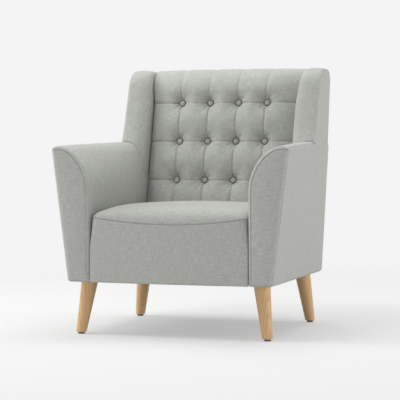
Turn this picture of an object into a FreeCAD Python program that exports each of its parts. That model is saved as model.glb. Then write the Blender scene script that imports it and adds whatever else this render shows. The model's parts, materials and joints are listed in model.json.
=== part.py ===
import FreeCAD, Part
import os
from math import atan2, cos, pi, radians, sin, tan
from types import SimpleNamespace

import Sketcher
from FreeCAD import Placement, Rotation, Vector

# Upholstered wing armchair on turned legs, with a biscuit-tufted back.
# X points to the right of someone facing the chair, Y to the rear, Z up; the floor is Z = 0; sizes in mm.
DIMENSIONS = {
    # plan and stance
    "seat_width": 528,
    "base_depth": 640,
    "base_height": 172,
    "base_round": 12,
    "rear_rake": 8.6,
    # arms
    "arm_base_width": 79,
    "arm_flare": 57,
    "arm_rear_flare": 9,
    "arm_height": 607,
    "arm_rise": 17,
    "arm_shoulder": 143,
    "arm_edge": 18,
    "arm_edge_drop": 14,
    "arm_roll": 0.78,
    "arm_front_round": 9,
    "facing_seam": 10,
    # wings
    "wing_inset": 2,
    "wing_width": 84,
    "wing_setback": 494,
    "wing_slope": 18,
    "wing_rise": 8,
    "wing_corner": 90,
    "wing_rear_corner": 35,
    "wing_draw": 14,
    # back and its tufts
    "back_rake": 13.5,
    "back_height": 873,
    "back_setback": 514,
    "back_pad": 70,
    "back_roll": 86,
    "back_foot": 330,
    "back_side_drop": 36,
    "tuft_pitch": 103.6,
    "tuft_low_row": 490,
    "tuft_top_drop": 113,
    "tuft_swell": 15,
    "tuft_row_swell": 8,
    "tuft_lift": 10,
    "tuft_side_swell": 8,
    "button_radius": 10.5,
    "button_rise": 6,
    "cord_radius": 1.2,
    "washer_radius": 12,
    "washer_thickness": 2,
    # seat
    "seat_height": 411,
    "seat_crown": 7,
    "seat_roll": 54,
    "seat_roll_reach": 1.15,
    "seat_roll_fade": 0.55,
    "seat_bow": 10,
    "seat_draw": 8,
    # cover and padding
    "cover_thickness": 3,
    "front_pad": 18,
    "arm_pad": 19,
    "arm_top_pad": 22,
    "outside_pad": 6,
    "wing_pad": 26,
    "rear_thickness": 4,
    "rear_round": 3,
    "dust_thickness": 1.5,
    "soft_clearance": 0.4,
    # timber frame
    "rail_thickness": 25,
    "rail_height": 95,
    "frame_inset": 15,
    "tack_height": 30,
    "tack_thickness": 20,
    "lining_thickness": 4,
    "arm_rail_height": 22,
    "arm_rail_drop": 50,
    "arm_rail_inset": 44,
    "back_rail_height": 60,
    "back_rail_thickness": 28,
    "back_rail_low": 335,
    "back_rail_drop": 101,
    "post_top_drop": 42,
    "panel_thickness": 18,
    "panel_clearance": 6,
    "block_reach": 100,
    "block_tip": 12,
    "block_height": 45,
    "dowel_radius": 4,
    "dowel_length": 40,
    "dowel_low": 28,
    "dowel_spacing": 42,
    # legs and their fixings
    "leg_inset": 53,
    "leg_front_setback": 57,
    "leg_rear_setback": 70,
    "leg_splay_out": 23,
    "leg_splay_along": 18,
    "leg_top_radius": 28,
    "leg_foot_radius": 16,
    "glide_radius": 11,
    "glide_height": 7,
    "glide_chamfer": 1.5,
    "nail_radius": 2,
    "nail_length": 18,
    "plate_width": 64,
    "plate_thickness": 2.5,
    "plate_screw_inset": 8,
    "screw_radius": 2,
    "screw_head_radius": 4,
    "screw_head_height": 2,
    "screw_length": 22,
    "bolt_radius": 4,
    "bolt_depth": 38,
    "bolt_rise": 30,
    "bolt_clearance": 0.3,
    # suspension
    "spring_count": 5,
    "spring_pitch": 92,
    "spring_half_width": 22,
    "spring_turn": 12,
    "spring_wire": 1.9,
    "clip_width": 16,
    "clip_length": 18,
    "clip_thickness": 1.6,
    "spring_pad_thickness": 4,
    "spring_pad_margin": 10,
    "strap_width": 50,
    "strap_thickness": 2,
}
# Places that follow from the driving sizes
PLAN = {
    "inner_x": "=dims.seat_width / 2",
    "base_x": "=plan.inner_x + dims.arm_base_width",
    "frame_x": "=plan.base_x - dims.frame_inset",
    "post_x": "=plan.frame_x - dims.rail_thickness",
    "cavity_x": "=plan.inner_x + dims.arm_pad + dims.soft_clearance",
    "lining_x": "=plan.cavity_x + dims.lining_thickness",
    "panel_x": "=(plan.post_x + plan.frame_x - dims.panel_thickness) / 2",
    "leg_x": "=plan.base_x - dims.leg_inset",
    "wing_x": "=plan.inner_x + dims.wing_inset",
    "wing_outer_x": "=plan.wing_x + dims.wing_width",
    "wing_height": "=dims.back_height + dims.wing_rise",
    "rear_seam": "=plan.wing_height - dims.wing_rear_corner * (1 + sin(dims.rear_rake))",
    "overhang": "=(plan.rear_seam - dims.base_height) * tan(dims.rear_rake)",
    "front_y": "=(dims.seat_bow - dims.base_depth - plan.overhang) / 2",
    "rail_front": "=plan.front_y + dims.front_pad",
    "rail_back": "=plan.rail_front + dims.rail_thickness",
    "rear_base": "=plan.front_y + dims.base_depth",
    "frame_bottom": "=dims.base_height + dims.cover_thickness",
    "plate_bottom": "=plan.frame_bottom - dims.plate_thickness",
    "rail_top": "=plan.frame_bottom + dims.rail_height",
    "spring_z": "=plan.rail_top + dims.clip_thickness + dims.spring_wire",
    "deck_bottom": "=plan.spring_z + dims.spring_wire",
    "deck_top": "=plan.deck_bottom + dims.spring_pad_thickness",
    "post_top": "=plan.wing_height - dims.post_top_drop",
    "arm_rear_height": "=dims.arm_height + dims.arm_rise",
    "panel_bottom": "=plan.arm_rear_height + dims.panel_clearance",
    "panel_top": "=plan.wing_height - dims.wing_pad",
    "tuft_row_pitch": "=(dims.back_height - dims.tuft_top_drop - dims.tuft_low_row) / 2",
    "back_rail_high": "=dims.back_height - dims.back_rail_drop",
    "strap_depth": "=dims.back_pad + dims.strap_thickness",
    "screw_offset": "=dims.plate_width / 2 - dims.plate_screw_inset",
}
SIDES = {"left": -1, "right": 1}
DOWEL_ROWS = (0, 1)
BUTTON_COLUMNS = (-1.5, -0.5, 0.5, 1.5)
BUTTON_ROWS = (0, 1, 2)
DIAGONAL = sin(pi / 4)
TOUCH = 0.01

doc = FreeCAD.newDocument("armchair")
nodes = {}


def fill_sheet(name, rows):
    """A sheet with one named value in each row."""
    sheet = doc.addObject("Spreadsheet::Sheet", name)
    for row, (alias, content) in enumerate(rows.items(), start=1):
        sheet.set(f"A{row}", alias)
        sheet.set(f"B{row}", str(content))
        sheet.setAlias(f"B{row}", alias)
    doc.recompute()
    return SimpleNamespace(sheet=sheet, **{alias: float(sheet.get(alias)) for alias in rows})


size = fill_sheet("dims", DIMENSIONS)
place = fill_sheet("plan", PLAN)
rear_angle = radians(size.rear_rake)
back_angle = radians(size.back_rake)
wing_angle = radians(size.wing_slope)


def value(expression):
    return float(size.sheet.evalExpression(expression))


# The three raked planes of the chair: Y at a height, moved square to the plane
def rear_plane(z, inside=0):
    """The outside of the back, moved inwards."""
    rise = f"({z} - dims.base_height) * tan(dims.rear_rake)"
    return f"(plan.rear_base + {rise} - {inside} / cos(dims.rear_rake))"


def tuft_plane(z, behind=0):
    """The plane that the buttons lie on, moved to the rear."""
    rise = f"({z} - dims.seat_height) * tan(dims.back_rake)"
    return f"(plan.front_y + dims.back_setback + {rise} + {behind} / cos(dims.back_rake))"


def wing_plane(z, inside=0):
    """The front edge of a wing, moved to the rear."""
    rise = f"({z} - dims.arm_height) * tan(dims.wing_slope)"
    return f"(plan.front_y + dims.wing_setback + {rise} + {inside} / cos(dims.wing_slope))"


def rear_y(z, inside=0):
    return value(rear_plane(z, inside))


def tuft_y(z, behind=0):
    return value(tuft_plane(z, behind))


def wing_y(z, inside=0):
    return value(wing_plane(z, inside))


# Helpers for shapes
def arc(start, middle, end):
    return Part.Arc(Vector(*start), Vector(*middle), Vector(*end)).toShape()


def line(start, end):
    return Part.makeLine(Vector(*start), Vector(*end))


def on_circle(center, radius, angle):
    return center[0] + radius * cos(angle), center[1] + radius * sin(angle)


def loft(sections, ruled=False):
    return Part.makeLoft(sections, True, ruled)


def block(x_range, y_range, z_range):
    """A box between two values on each axis."""
    corner = Vector(x_range[0], y_range[0], z_range[0])
    return Part.makeBox(x_range[1] - x_range[0], y_range[1] - y_range[0], z_range[1] - z_range[0], corner)


def prism(outline, x_range):
    """A prism along X over a closed outline of (y, z) points."""
    points = [Vector(x_range[0], y, z) for y, z in outline]
    face = Part.Face(Part.makePolygon(points + points[:1]))
    return face.extrude(Vector(x_range[1] - x_range[0], 0, 0))


def one_solid(shape):
    """The single solid held by the result of a boolean or a fillet."""
    return max(shape.Solids, key=lambda solid: solid.Volume)


def mirrored(shape, side):
    if side > 0:
        return shape.copy()
    return shape.mirror(Vector(0, 0, 0), Vector(1, 0, 0))


# Helpers for document objects
def bind(piece, expressions):
    for name, expression in expressions.items():
        piece.setExpression(name, expression)
    return piece


def register(label, piece):
    piece.Label = label
    nodes[label] = piece
    return piece


def shape_node(label, shape):
    """A lofted or cut piece as a finished node."""
    piece = doc.addObject("Part::Feature", label)
    piece.Shape = shape
    return register(label, piece)


def box(name, corner, extents):
    """A Part box with its corner and its three sizes bound to expressions."""
    piece = doc.addObject("Part::Box", name)
    names = ("Length", "Width", "Height")
    bind(piece, dict(zip(names, extents)))
    return bind(piece, {f".Placement.Base.{axis}": text for axis, text in zip("xyz", corner)})


def cylinder(name, radius, height):
    return bind(doc.addObject("Part::Cylinder", name), {"Radius": radius, "Height": height})


def origin_feature(body, role):
    return next(item for item in body.Origin.OriginFeatures if item.Role == role)


def outline_sketch(body, name, plane, points):
    """A closed sketch of straight lines with every corner bound to a pair of expressions."""
    sketch = body.newObject("Sketcher::SketchObject", name)
    sketch.AttachmentSupport = [(origin_feature(body, plane), "")]
    sketch.MapMode = "FlatFace"
    corners = [Vector(value(first), value(second), 0) for first, second in points]
    count = len(points)
    for index, corner in enumerate(corners):
        sketch.addGeometry(Part.LineSegment(corner, corners[(index + 1) % count]))
    for index in range(count):
        sketch.addConstraint(Sketcher.Constraint("Coincident", index, 2, (index + 1) % count, 1))
    for index, (corner, texts) in enumerate(zip(corners, points)):
        for kind, number, text in zip(("DistanceX", "DistanceY"), corner, texts):
            bound = sketch.addConstraint(Sketcher.Constraint(kind, -1, 1, index, 1, number))
            sketch.setExpression(f"Constraints[{bound}]", text)
    return sketch


def circle_sketch(body, name, plane, center, radius):
    """A sketch of one circle with its centre and radius bound to expressions."""
    sketch = body.newObject("Sketcher::SketchObject", name)
    sketch.AttachmentSupport = [(origin_feature(body, plane), "")]
    sketch.MapMode = "FlatFace"
    middle = Vector(value(center[0]), value(center[1]), 0)
    sketch.addGeometry(Part.Circle(middle, Vector(0, 0, 1), value(radius)))
    bound = sketch.addConstraint(Sketcher.Constraint("Radius", 0, value(radius)))
    sketch.setExpression(f"Constraints[{bound}]", radius)
    for kind, number, text in zip(("DistanceX", "DistanceY"), middle, center):
        bound = sketch.addConstraint(Sketcher.Constraint(kind, -1, 1, 0, 3, number))
        sketch.setExpression(f"Constraints[{bound}]", text)
    return sketch


def padded_body(name, plane, points, length):
    """A body padded from an outline of straight lines."""
    body = doc.addObject("PartDesign::Body", name)
    pad = body.newObject("PartDesign::Pad", f"{name}_pad")
    pad.Profile = outline_sketch(body, f"{name}_outline", plane, points)
    pad.setExpression("Length", length)
    doc.recompute()
    return body


def turned_body(name, points):
    """A body turned about the upright axis from a half outline of (radius, height) points."""
    body = doc.addObject("PartDesign::Body", name)
    turning = body.newObject("PartDesign::Revolution", f"{name}_turning")
    turning.Profile = outline_sketch(body, f"{name}_outline", "XZ_Plane", points)
    turning.ReferenceAxis = (origin_feature(body, "Z_Axis"), [""])
    turning.Angle = 360
    doc.recompute()
    return body


def placed_copies(master, placements):
    """Copies of a master's solid at several placements."""
    doc.recompute()
    copies = []
    for placement in placements:
        copy = master.Shape.copy()
        copy.Placement = placement.multiply(copy.Placement)
        copies.append(copy)
    return Part.makeCompound(copies)


def bored(label, blank, bores):
    """A piece of timber with the holes of its fasteners taken out."""
    cut = doc.addObject("Part::Cut", label)
    cut.Base = blank
    cut.Tool = bores
    return register(label, cut)


# Arms: outline of a cross-section, from the inner face over the roll to the flared outer face
def padding(front, inner, top, outer):
    return SimpleNamespace(front=front, inner=inner, top=top, outer=outer)


NO_PAD = padding(0, 0, 0, 0)
COVER_PAD = padding(*[size.cover_thickness] * 4)
FRAME_PAD = padding(size.front_pad, size.arm_pad, size.arm_top_pad, size.outside_pad)
POST_PAD = padding(
    size.front_pad,
    size.arm_pad + size.soft_clearance,
    size.arm_top_pad + size.soft_clearance,
    size.outside_pad + size.soft_clearance,
)


# Shares of a quarter turn at which the soft front edge of an arm has a section
ROUND_STEPS = (0.0, 0.25, 0.5, 0.75, 1.0)


def arm_station(y):
    """Outer edge and crest height of the arm at a Y: it narrows and rises until it reaches the wing."""
    share = min(1.0, (y - place.front_y) / size.wing_setback)
    outer = place.base_x + size.arm_flare + (size.arm_rear_flare - size.arm_flare) * share
    return outer, size.arm_height + size.arm_rise * share


def arm_side_x(z, outer, crest):
    """X of the arm's sloping outer face."""
    height = crest - size.arm_edge_drop - size.base_height
    return place.base_x + (outer - place.base_x) * (z - size.base_height) / height


def arm_section(pad, outer, crest, y_at):
    """Closed wire of the arm's cross-section, with every point set on the surface y_at(z)."""
    x_in = place.inner_x + pad.inner
    z_low = size.base_height + min(pad.inner, size.cover_thickness)
    z_top = crest - pad.top
    z_shoulder = crest - size.arm_shoulder
    z_edge = crest - size.arm_edge_drop - pad.top
    crest_x = outer - size.arm_edge
    width = crest_x - x_in
    height = z_top - z_shoulder
    small = size.arm_roll * width
    large = (width**2 + (height - small) ** 2 - small**2) / (2 * (width - small))
    low_center = (x_in + large, z_shoulder)
    top_center = (crest_x, z_top - small)
    meet = atan2(top_center[1] - low_center[1], top_center[0] - low_center[0])
    rounding = size.base_round - pad.outer / 2

    def side_x(z):
        return arm_side_x(z, outer, crest) - pad.outer

    def at(point):
        return point[0], y_at(point[1]), point[1]

    joint = on_circle(top_center, small, meet)
    top = (crest_x, z_top)
    edge = (side_x(z_edge), z_edge)
    edge_middle = (crest_x + DIAGONAL * (edge[0] - crest_x), z_edge + DIAGONAL * (z_top - z_edge))
    corner_high = (side_x(z_low + rounding), z_low + rounding)
    cut_off = (1 - DIAGONAL) * rounding
    corner_middle = (side_x(z_low) - cut_off, z_low + cut_off)
    corner_low = (side_x(z_low) - rounding, z_low)
    edges = [
        line(at((x_in, z_low)), at((x_in, z_shoulder))),
        arc(at((x_in, z_shoulder)), at(on_circle(low_center, large, (pi + meet) / 2)), at(joint)),
        arc(at(joint), at(on_circle(top_center, small, (meet + pi / 2) / 2)), at(top)),
        arc(at(top), at(edge_middle), at(edge)),
        line(at(edge), at(corner_high)),
        arc(at(corner_high), at(corner_middle), at(corner_low)),
        line(at(corner_low), at((x_in, z_low))),
    ]
    return Part.Wire(edges)


def arm_form(pad, rear_inside, front_round=0):
    """Solid of the right arm, drawn in by a padding, with a soft front edge; it ends inside the rear face."""
    start = place.front_y + pad.front
    knee = place.front_y + size.wing_setback
    sections = []
    for share in ROUND_STEPS if front_round else ROUND_STEPS[-1:]:
        drawn = front_round * (1 - sin(share * pi / 2))
        y = start + front_round * (1 - cos(share * pi / 2))
        rim = padding(pad.front, pad.inner + drawn, pad.top + drawn, pad.outer + drawn)
        sections.append(arm_section(rim, *arm_station(y), lambda z, y=y: y))
    sections.append(arm_section(pad, *arm_station(knee), lambda z: knee))
    sections.append(arm_section(pad, *arm_station(place.rear_base), lambda z: rear_y(z, rear_inside)))
    return loft(sections, ruled=True)


# Wings: outlines in side view, drawn in towards both faces for soft edges
WING_STEPS = ((0.0, 1.0), (0.2, 0.2), (0.5, 0.0), (0.8, 0.2), (1.0, 1.0))


def wing_section(share, inset, trim, foot, rear_inside):
    """Closed wire of the wing's side view at a share of its width; trim narrows the width."""
    top = place.wing_height - inset
    outer, crest = arm_station(place.rear_base)
    foot_x = arm_side_x(foot, outer, crest) - 2 * size.soft_clearance

    def at(point):
        along = (point[1] - foot) / (place.wing_height - foot)
        outside = foot_x + (place.wing_outer_x - foot_x) * along - trim
        inside = place.wing_x + trim
        return inside + share * (outside - inside), point[0], point[1]

    front_radius = size.wing_corner - inset
    front_reach = front_radius * tan((pi / 2 - wing_angle) / 2)
    front_corner = wing_y(top, inset)
    front_start = (front_corner - front_reach * sin(wing_angle), top - front_reach * cos(wing_angle))
    front_end = (front_corner + front_reach, top)
    front_middle = on_circle((front_end[0], top - front_radius), front_radius, 3 * pi / 4 - wing_angle / 2)
    rear_radius = size.wing_rear_corner
    rear_reach = rear_radius * tan((pi / 2 + rear_angle) / 2)
    rear_corner = rear_y(top, rear_inside)
    rear_start = (rear_corner - rear_reach, top)
    rear_end = (rear_corner - rear_reach * sin(rear_angle), top - rear_reach * cos(rear_angle))
    rear_middle = on_circle((rear_start[0], top - rear_radius), rear_radius, pi / 4 - rear_angle / 2)
    low_front = (wing_y(foot, inset), foot)
    low_rear = (rear_y(foot, rear_inside), foot)
    edges = [
        line(at(low_front), at(front_start)),
        arc(at(front_start), at(front_middle), at(front_end)),
        line(at(front_end), at(rear_start)),
        arc(at(rear_start), at(rear_middle), at(rear_end)),
        line(at(rear_end), at(low_rear)),
        line(at(low_rear), at(low_front)),
    ]
    return Part.Wire(edges)


def wing_form(trim, foot, rear_inside):
    """Solid of the right wing with soft edges, drawn in by trim on its faces, front and top."""
    sections = [
        wing_section(share, trim + drawn * size.wing_draw, trim, foot, rear_inside)
        for share, drawn in WING_STEPS
    ]
    return loft(sections)


# Back: the tufted surface is lofted band by band through sections made of five arcs
back_half = place.inner_x - size.soft_clearance
row_heights = [size.tuft_low_row + row * place.tuft_row_pitch for row in BUTTON_ROWS]
crest_y = tuft_y(size.back_height) + size.back_roll * tan((pi / 2 - back_angle) / 2)
rear_roll = (rear_y(size.back_height, size.rear_thickness) - crest_y) / tan((pi / 2 + rear_angle) / 2)


def straight_station(z):
    return SimpleNamespace(y=tuft_y(z), z=z, angle=back_angle)


def roll_station(angle):
    """A station on the roll over the top: a wide arc up to the crest, a tighter one down to the rear face."""
    radius = size.back_roll if angle <= pi / 2 else rear_roll
    center_z = size.back_height - radius
    return SimpleNamespace(y=crest_y - radius * cos(angle), z=center_z + radius * sin(angle), angle=angle)


def on_back(station, x, height):
    """A point at a height above the plane of the buttons, square to the station's path."""
    return x, station.y - cos(station.angle) * height, station.z + sin(station.angle) * height


def tuft_chain(profile, lowered):
    """Five arcs across the back, from the left edge over the four button columns to the right edge."""
    columns = [-back_half] + [column * size.tuft_pitch for column in BUTTON_COLUMNS] + [back_half]
    heights = [-profile.side] + [profile.column] * len(BUTTON_COLUMNS) + [-profile.side]
    points = []
    for index, (x, height) in enumerate(zip(columns, heights)):
        points.append((x, height))
        if index + 1 < len(columns):
            swell = profile.swell
            if index in (0, len(columns) - 2):
                swell += profile.side_swell
            points.append(((x + columns[index + 1]) / 2, (height + heights[index + 1]) / 2 + swell))
    return [on_back(profile.station, x, height - lowered) for x, height in points]


def chain_edges(points):
    return [arc(*points[start : start + 3]) for start in range(0, len(points) - 1, 2)]


def cover_section(profile):
    outside = tuft_chain(profile, 0)
    inside = tuft_chain(profile, size.cover_thickness)[::-1]
    edges = chain_edges(outside)
    edges.append(line(outside[-1], inside[0]))
    edges.extend(chain_edges(inside))
    edges.append(line(inside[-1], outside[0]))
    return Part.Wire(edges)


def foam_section(profile):
    front = tuft_chain(profile, size.cover_thickness)
    rear = [on_back(profile.station, x, -profile.depth) for x in (back_half, -back_half)]
    edges = chain_edges(front)
    edges.append(line(front[-1], rear[0]))
    edges.append(line(rear[0], rear[1]))
    edges.append(line(rear[1], front[0]))
    return Part.Wire(edges)


def tuft_profile(station, fullness, depth, flatten=1.0):
    """Section of the back between a seam (fullness 0) and the middle of a row of cells (fullness 1)."""
    swell = size.tuft_row_swell + (size.tuft_swell - size.tuft_row_swell) * fullness
    return SimpleNamespace(
        station=station,
        side=size.back_side_drop * flatten,
        column=size.tuft_lift * fullness * flatten,
        swell=swell * flatten,
        side_swell=size.tuft_side_swell * flatten,
        depth=depth,
    )


# Sections over the top of the back: angle on the roll, fullness of the cells, depth of the foam
# and the share of the tufting that is left
TOP_STEPS = (
    (back_angle, 1.0, size.back_pad, 0.95),
    ((back_angle + pi / 2) / 2, 0.8, 0.7 * size.back_roll, 0.6),
    (pi / 2, 0.2, 0.75 * rear_roll, 0.3),
    (0.75 * pi, 0.0, 0.7 * rear_roll, 0.15),
    (pi + rear_angle, 0.0, 0.7 * rear_roll, 0.03),
)


def back_bands():
    """Lists of sections for the bands between the seams, from the foot of the back over its top."""
    pad = size.back_pad
    seams = [tuft_profile(straight_station(z), 0.0, pad) for z in row_heights]
    foot_middle = (size.back_foot + row_heights[0]) / 2
    bands = [
        [
            tuft_profile(straight_station(size.back_foot), 0.5, pad),
            tuft_profile(straight_station(foot_middle), 1.0, pad),
            seams[0],
        ]
    ]
    for lower, upper in zip(seams, seams[1:]):
        middle = straight_station((lower.station.z + upper.station.z) / 2)
        bands.append([lower, tuft_profile(middle, 1.0, pad), upper])
    top = [
        tuft_profile(roll_station(angle), fullness, depth, left)
        for angle, fullness, depth, left in TOP_STEPS
    ]
    bands.append([seams[-1]] + top)
    return bands


# Seat: side views lofted from arm to arm, crowned, bowed to the front and drawn in towards the top
SEAT_STEPS = (-1.0, -0.6, 0.0, 0.6, 1.0)


def seat_roll_at(share):
    """Height of the rounded front edge, largest in the middle of the seat."""
    return size.seat_roll * (1 - size.seat_roll_fade * share**2)


def seat_section(share, trim, low, behind):
    """Closed wire of the seat's side view at a share of its half width."""
    bulge = 1 - share**2
    top = size.seat_height + size.seat_crown * bulge - trim
    roll = seat_roll_at(share)
    front = place.front_y - size.seat_bow * bulge + trim
    half = place.inner_x - size.soft_clearance - trim

    def at(point):
        drawn = size.seat_draw * (point[1] - size.base_height) / (size.seat_height - size.base_height)
        return share * (half - drawn), point[0], point[1]

    rear_low = (tuft_y(low, behind), low)
    rear_top = (tuft_y(top, behind), top)
    front_low = (front, low)
    front_top = (front, top - roll)
    reach = size.seat_roll_reach * roll
    roll_top = (front + reach, top - size.seat_crown / 2)
    roll_middle = (front + (1 - DIAGONAL) * reach, top - (1 - DIAGONAL) * roll)
    crown = ((roll_top[0] + rear_top[0]) / 2, top + size.seat_crown / 2)
    edges = [
        line(at(rear_low), at(front_low)),
        line(at(front_low), at(front_top)),
        arc(at(front_top), at(roll_middle), at(roll_top)),
        arc(at(roll_top), at(crown), at(rear_top)),
        line(at(rear_top), at(rear_low)),
    ]
    return Part.Wire(edges)


def seat_form(trim, low, behind):
    return loft([seat_section(share, trim, low, behind) for share in SEAT_STEPS])


# Fasteners
def upright(x, y, z):
    return Placement(Vector(x, y, z), Rotation())


LEG_PLACES = [
    SimpleNamespace(label=f"leg_{end}_{side}", x=sign * place.leg_x, y=y, out=sign, along=along)
    for end, y, along in (
        ("front", place.front_y + size.leg_front_setback, -1),
        ("rear", place.rear_base - size.leg_rear_setback, 1),
    )
    for side, sign in SIDES.items()
]
ALONG_X = Rotation(Vector(0, 1, 0), 90)
ALONG_Y = Rotation(Vector(1, 0, 0), -90)
RAKED = Rotation(Vector(1, 0, 0), -size.back_rake)


def on_rake(x, z, behind):
    """A point behind the plane of the buttons, square to the plane, from a height on that plane."""
    return Vector(x, tuft_y(z) + behind * cos(back_angle), z - behind * sin(back_angle))


rear_rail_front = rear_y(place.frame_bottom, size.rear_thickness) - size.rail_thickness
dowel = cylinder("dowel", "dims.dowel_radius", "dims.dowel_length")
dowel_places = []
for side in SIDES.values():
    for row in DOWEL_ROWS:
        z = place.frame_bottom + size.dowel_low + row * size.dowel_spacing
        reach = size.dowel_length / 2
        front_middle = place.rail_front + size.rail_thickness / 2
        rear_middle = rear_rail_front + size.rail_thickness / 2
        side_middle = side * (place.post_x + place.frame_x) / 2
        dowel_places.append(Placement(Vector(side * place.cavity_x - reach, front_middle, z), ALONG_X))
        dowel_places.append(Placement(Vector(side * place.post_x - reach, rear_middle, z), ALONG_X))
        dowel_places.append(Placement(Vector(side_middle, place.rail_back - reach, z), ALONG_Y))
        for low in (size.back_rail_low, place.back_rail_high):
            up = low + size.back_rail_height * (row + 0.5) / len(DOWEL_ROWS)
            middle = on_rake(side * place.post_x - reach, up, place.strap_depth + size.back_rail_thickness / 2)
            dowel_places.append(Placement(middle, ALONG_X))
frame_dowels = shape_node("frame_dowels", placed_copies(dowel, dowel_places))

screw = turned_body(
    "screw",
    [
        ("0", "-dims.screw_head_height"),
        ("dims.screw_head_radius", "-dims.screw_head_height"),
        ("dims.screw_head_radius", "0"),
        ("dims.screw_radius", "0"),
        ("dims.screw_radius", "dims.screw_length"),
        ("0", "dims.screw_length"),
    ],
)
screw_places = [
    upright(leg.x + across * place.screw_offset, leg.y + along * place.screw_offset, place.plate_bottom)
    for leg in LEG_PLACES
    for across in (-1, 1)
    for along in (-1, 1)
]
plate_screws = shape_node("plate_screws", placed_copies(screw, screw_places))

bolt = cylinder("bolt", "dims.bolt_radius", "dims.bolt_depth + dims.plate_thickness + dims.bolt_rise")
bolt_places = [upright(leg.x, leg.y, place.plate_bottom - size.bolt_depth) for leg in LEG_PLACES]
leg_bolts = shape_node("leg_bolts", placed_copies(bolt, bolt_places))
bolt_bore = cylinder(
    "bolt_bore",
    "dims.bolt_radius + dims.bolt_clearance",
    "dims.bolt_depth + dims.plate_thickness + dims.bolt_rise + dims.bolt_clearance",
)
bores = doc.addObject("Part::Feature", "frame_bores")
bores.Shape = Part.makeCompound(
    [frame_dowels.Shape, plate_screws.Shape, placed_copies(bolt_bore, bolt_places)]
)

# Leg plates
plate = padded_body(
    "plate",
    "XY_Plane",
    [
        (f"{across}dims.plate_width / 2", f"{along}dims.plate_width / 2")
        for across, along in (("-", "-"), ("", "-"), ("", ""), ("-", ""))
    ],
    "dims.plate_thickness",
)
hole = plate.newObject("PartDesign::Pocket", "plate_bolt_hole")
hole.Profile = circle_sketch(
    plate, "plate_bolt_circle", "XY_Plane", ("0", "0"), "dims.bolt_radius + dims.bolt_clearance"
)
hole.Type = "ThroughAll"
hole.Reversed = True
doc.recompute()
screw_hole = plate.newObject("PartDesign::Pocket", "plate_screw_hole")
screw_hole.Profile = circle_sketch(
    plate, "plate_screw_circle", "XY_Plane", ("plan.screw_offset", "plan.screw_offset"), "dims.screw_radius"
)
screw_hole.Type = "ThroughAll"
screw_hole.Reversed = True
doc.recompute()
screw_holes = plate.newObject("PartDesign::PolarPattern", "plate_screw_holes")
screw_holes.Originals = [screw_hole]
screw_holes.Axis = (origin_feature(plate, "Z_Axis"), [""])
screw_holes.Angle = 360
screw_holes.Occurrences = 4
plate.Tip = screw_holes
plate_places = [upright(leg.x, leg.y, place.plate_bottom) for leg in LEG_PLACES]
leg_plates = shape_node("leg_plates", placed_copies(plate, plate_places))
plate_room = Part.makeCompound(
    [
        block(
            [leg.x + sign * (size.plate_width / 2 + size.soft_clearance) for sign in (-1, 1)],
            [leg.y + sign * (size.plate_width / 2 + size.soft_clearance) for sign in (-1, 1)],
            [size.base_height - size.cover_thickness, place.frame_bottom],
        )
        for leg in LEG_PLACES
    ]
)

# Glides with their nails, and the legs bored for bolt and nail
glide = turned_body(
    "glide",
    [
        ("0", "0"),
        ("dims.glide_radius - dims.glide_chamfer", "0"),
        ("dims.glide_radius", "dims.glide_chamfer"),
        ("dims.glide_radius", "dims.glide_height"),
        ("dims.nail_radius", "dims.glide_height"),
        ("dims.nail_radius", "dims.glide_height + dims.nail_length"),
        ("0", "dims.glide_height + dims.nail_length"),
    ],
)
leg_drop = place.plate_bottom - size.glide_height
glide_places = [
    upright(leg.x + leg.out * size.leg_splay_out, leg.y + leg.along * size.leg_splay_along, 0)
    for leg in LEG_PLACES
]
foot_glides = shape_node("foot_glides", placed_copies(glide, glide_places))
leg_bores = doc.addObject("Part::Feature", "leg_bores")
leg_bores.Shape = Part.makeCompound([foot_glides.Shape, leg_bolts.Shape])
leg_slab = box(
    "leg_slab",
    ("-plan.base_x * 2", "-dims.base_depth", "dims.glide_height"),
    ("plan.base_x * 4", "dims.base_depth * 2", "plan.plate_bottom - dims.glide_height"),
)
for leg in LEG_PLACES:
    cone = doc.addObject("Part::Cone", f"{leg.label}_cone")
    bind(
        cone,
        {
            "Radius1": "dims.leg_foot_radius",
            "Radius2": "dims.leg_top_radius",
            "Height": "plan.plate_bottom + dims.leg_top_radius",
        },
    )
    axis = Vector(-leg.out * size.leg_splay_out, -leg.along * size.leg_splay_along, leg_drop)
    top = Vector(leg.x, leg.y, place.plate_bottom)
    cone.Placement = Placement(top - axis * (place.plate_bottom / leg_drop), Rotation(Vector(0, 0, 1), axis))
    trimmed = doc.addObject("Part::Common", f"{leg.label}_turned")
    trimmed.Base = cone
    trimmed.Tool = leg_slab
    bored(leg.label, trimmed, leg_bores)

# Seat frame
bored(
    "front_rail",
    box(
        "front_rail_blank",
        ("-plan.cavity_x", "plan.rail_front", "plan.frame_bottom"),
        ("2 * plan.cavity_x", "dims.rail_thickness", "dims.rail_height"),
    ),
    bores,
)
bored(
    "rear_rail",
    box(
        "rear_rail_blank",
        (
            "-plan.post_x",
            rear_plane("plan.frame_bottom", "dims.rear_thickness") + " - dims.rail_thickness",
            "plan.frame_bottom",
        ),
        ("2 * plan.post_x", "dims.rail_thickness", "dims.rail_height"),
    ),
    bores,
)
corner_block = padded_body(
    "corner_block",
    "XY_Plane",
    [
        ("0", "0"),
        ("0", "dims.block_reach"),
        ("-dims.block_tip", "dims.block_reach"),
        ("-dims.block_reach", "dims.block_tip"),
        ("-dims.block_reach", "0"),
    ],
    "dims.block_height",
)
corner_places = [
    Placement(Vector(sign * place.post_x, y, place.frame_bottom), Rotation(Vector(0, 0, 1), turn))
    for sign, y, turn in (
        (1, place.rail_back, 0),
        (-1, place.rail_back, -90),
        (1, rear_rail_front, 90),
        (-1, rear_rail_front, 180),
    )
]
shape_node("corner_blocks", placed_copies(corner_block, corner_places).cut(bores.Shape))


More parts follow.
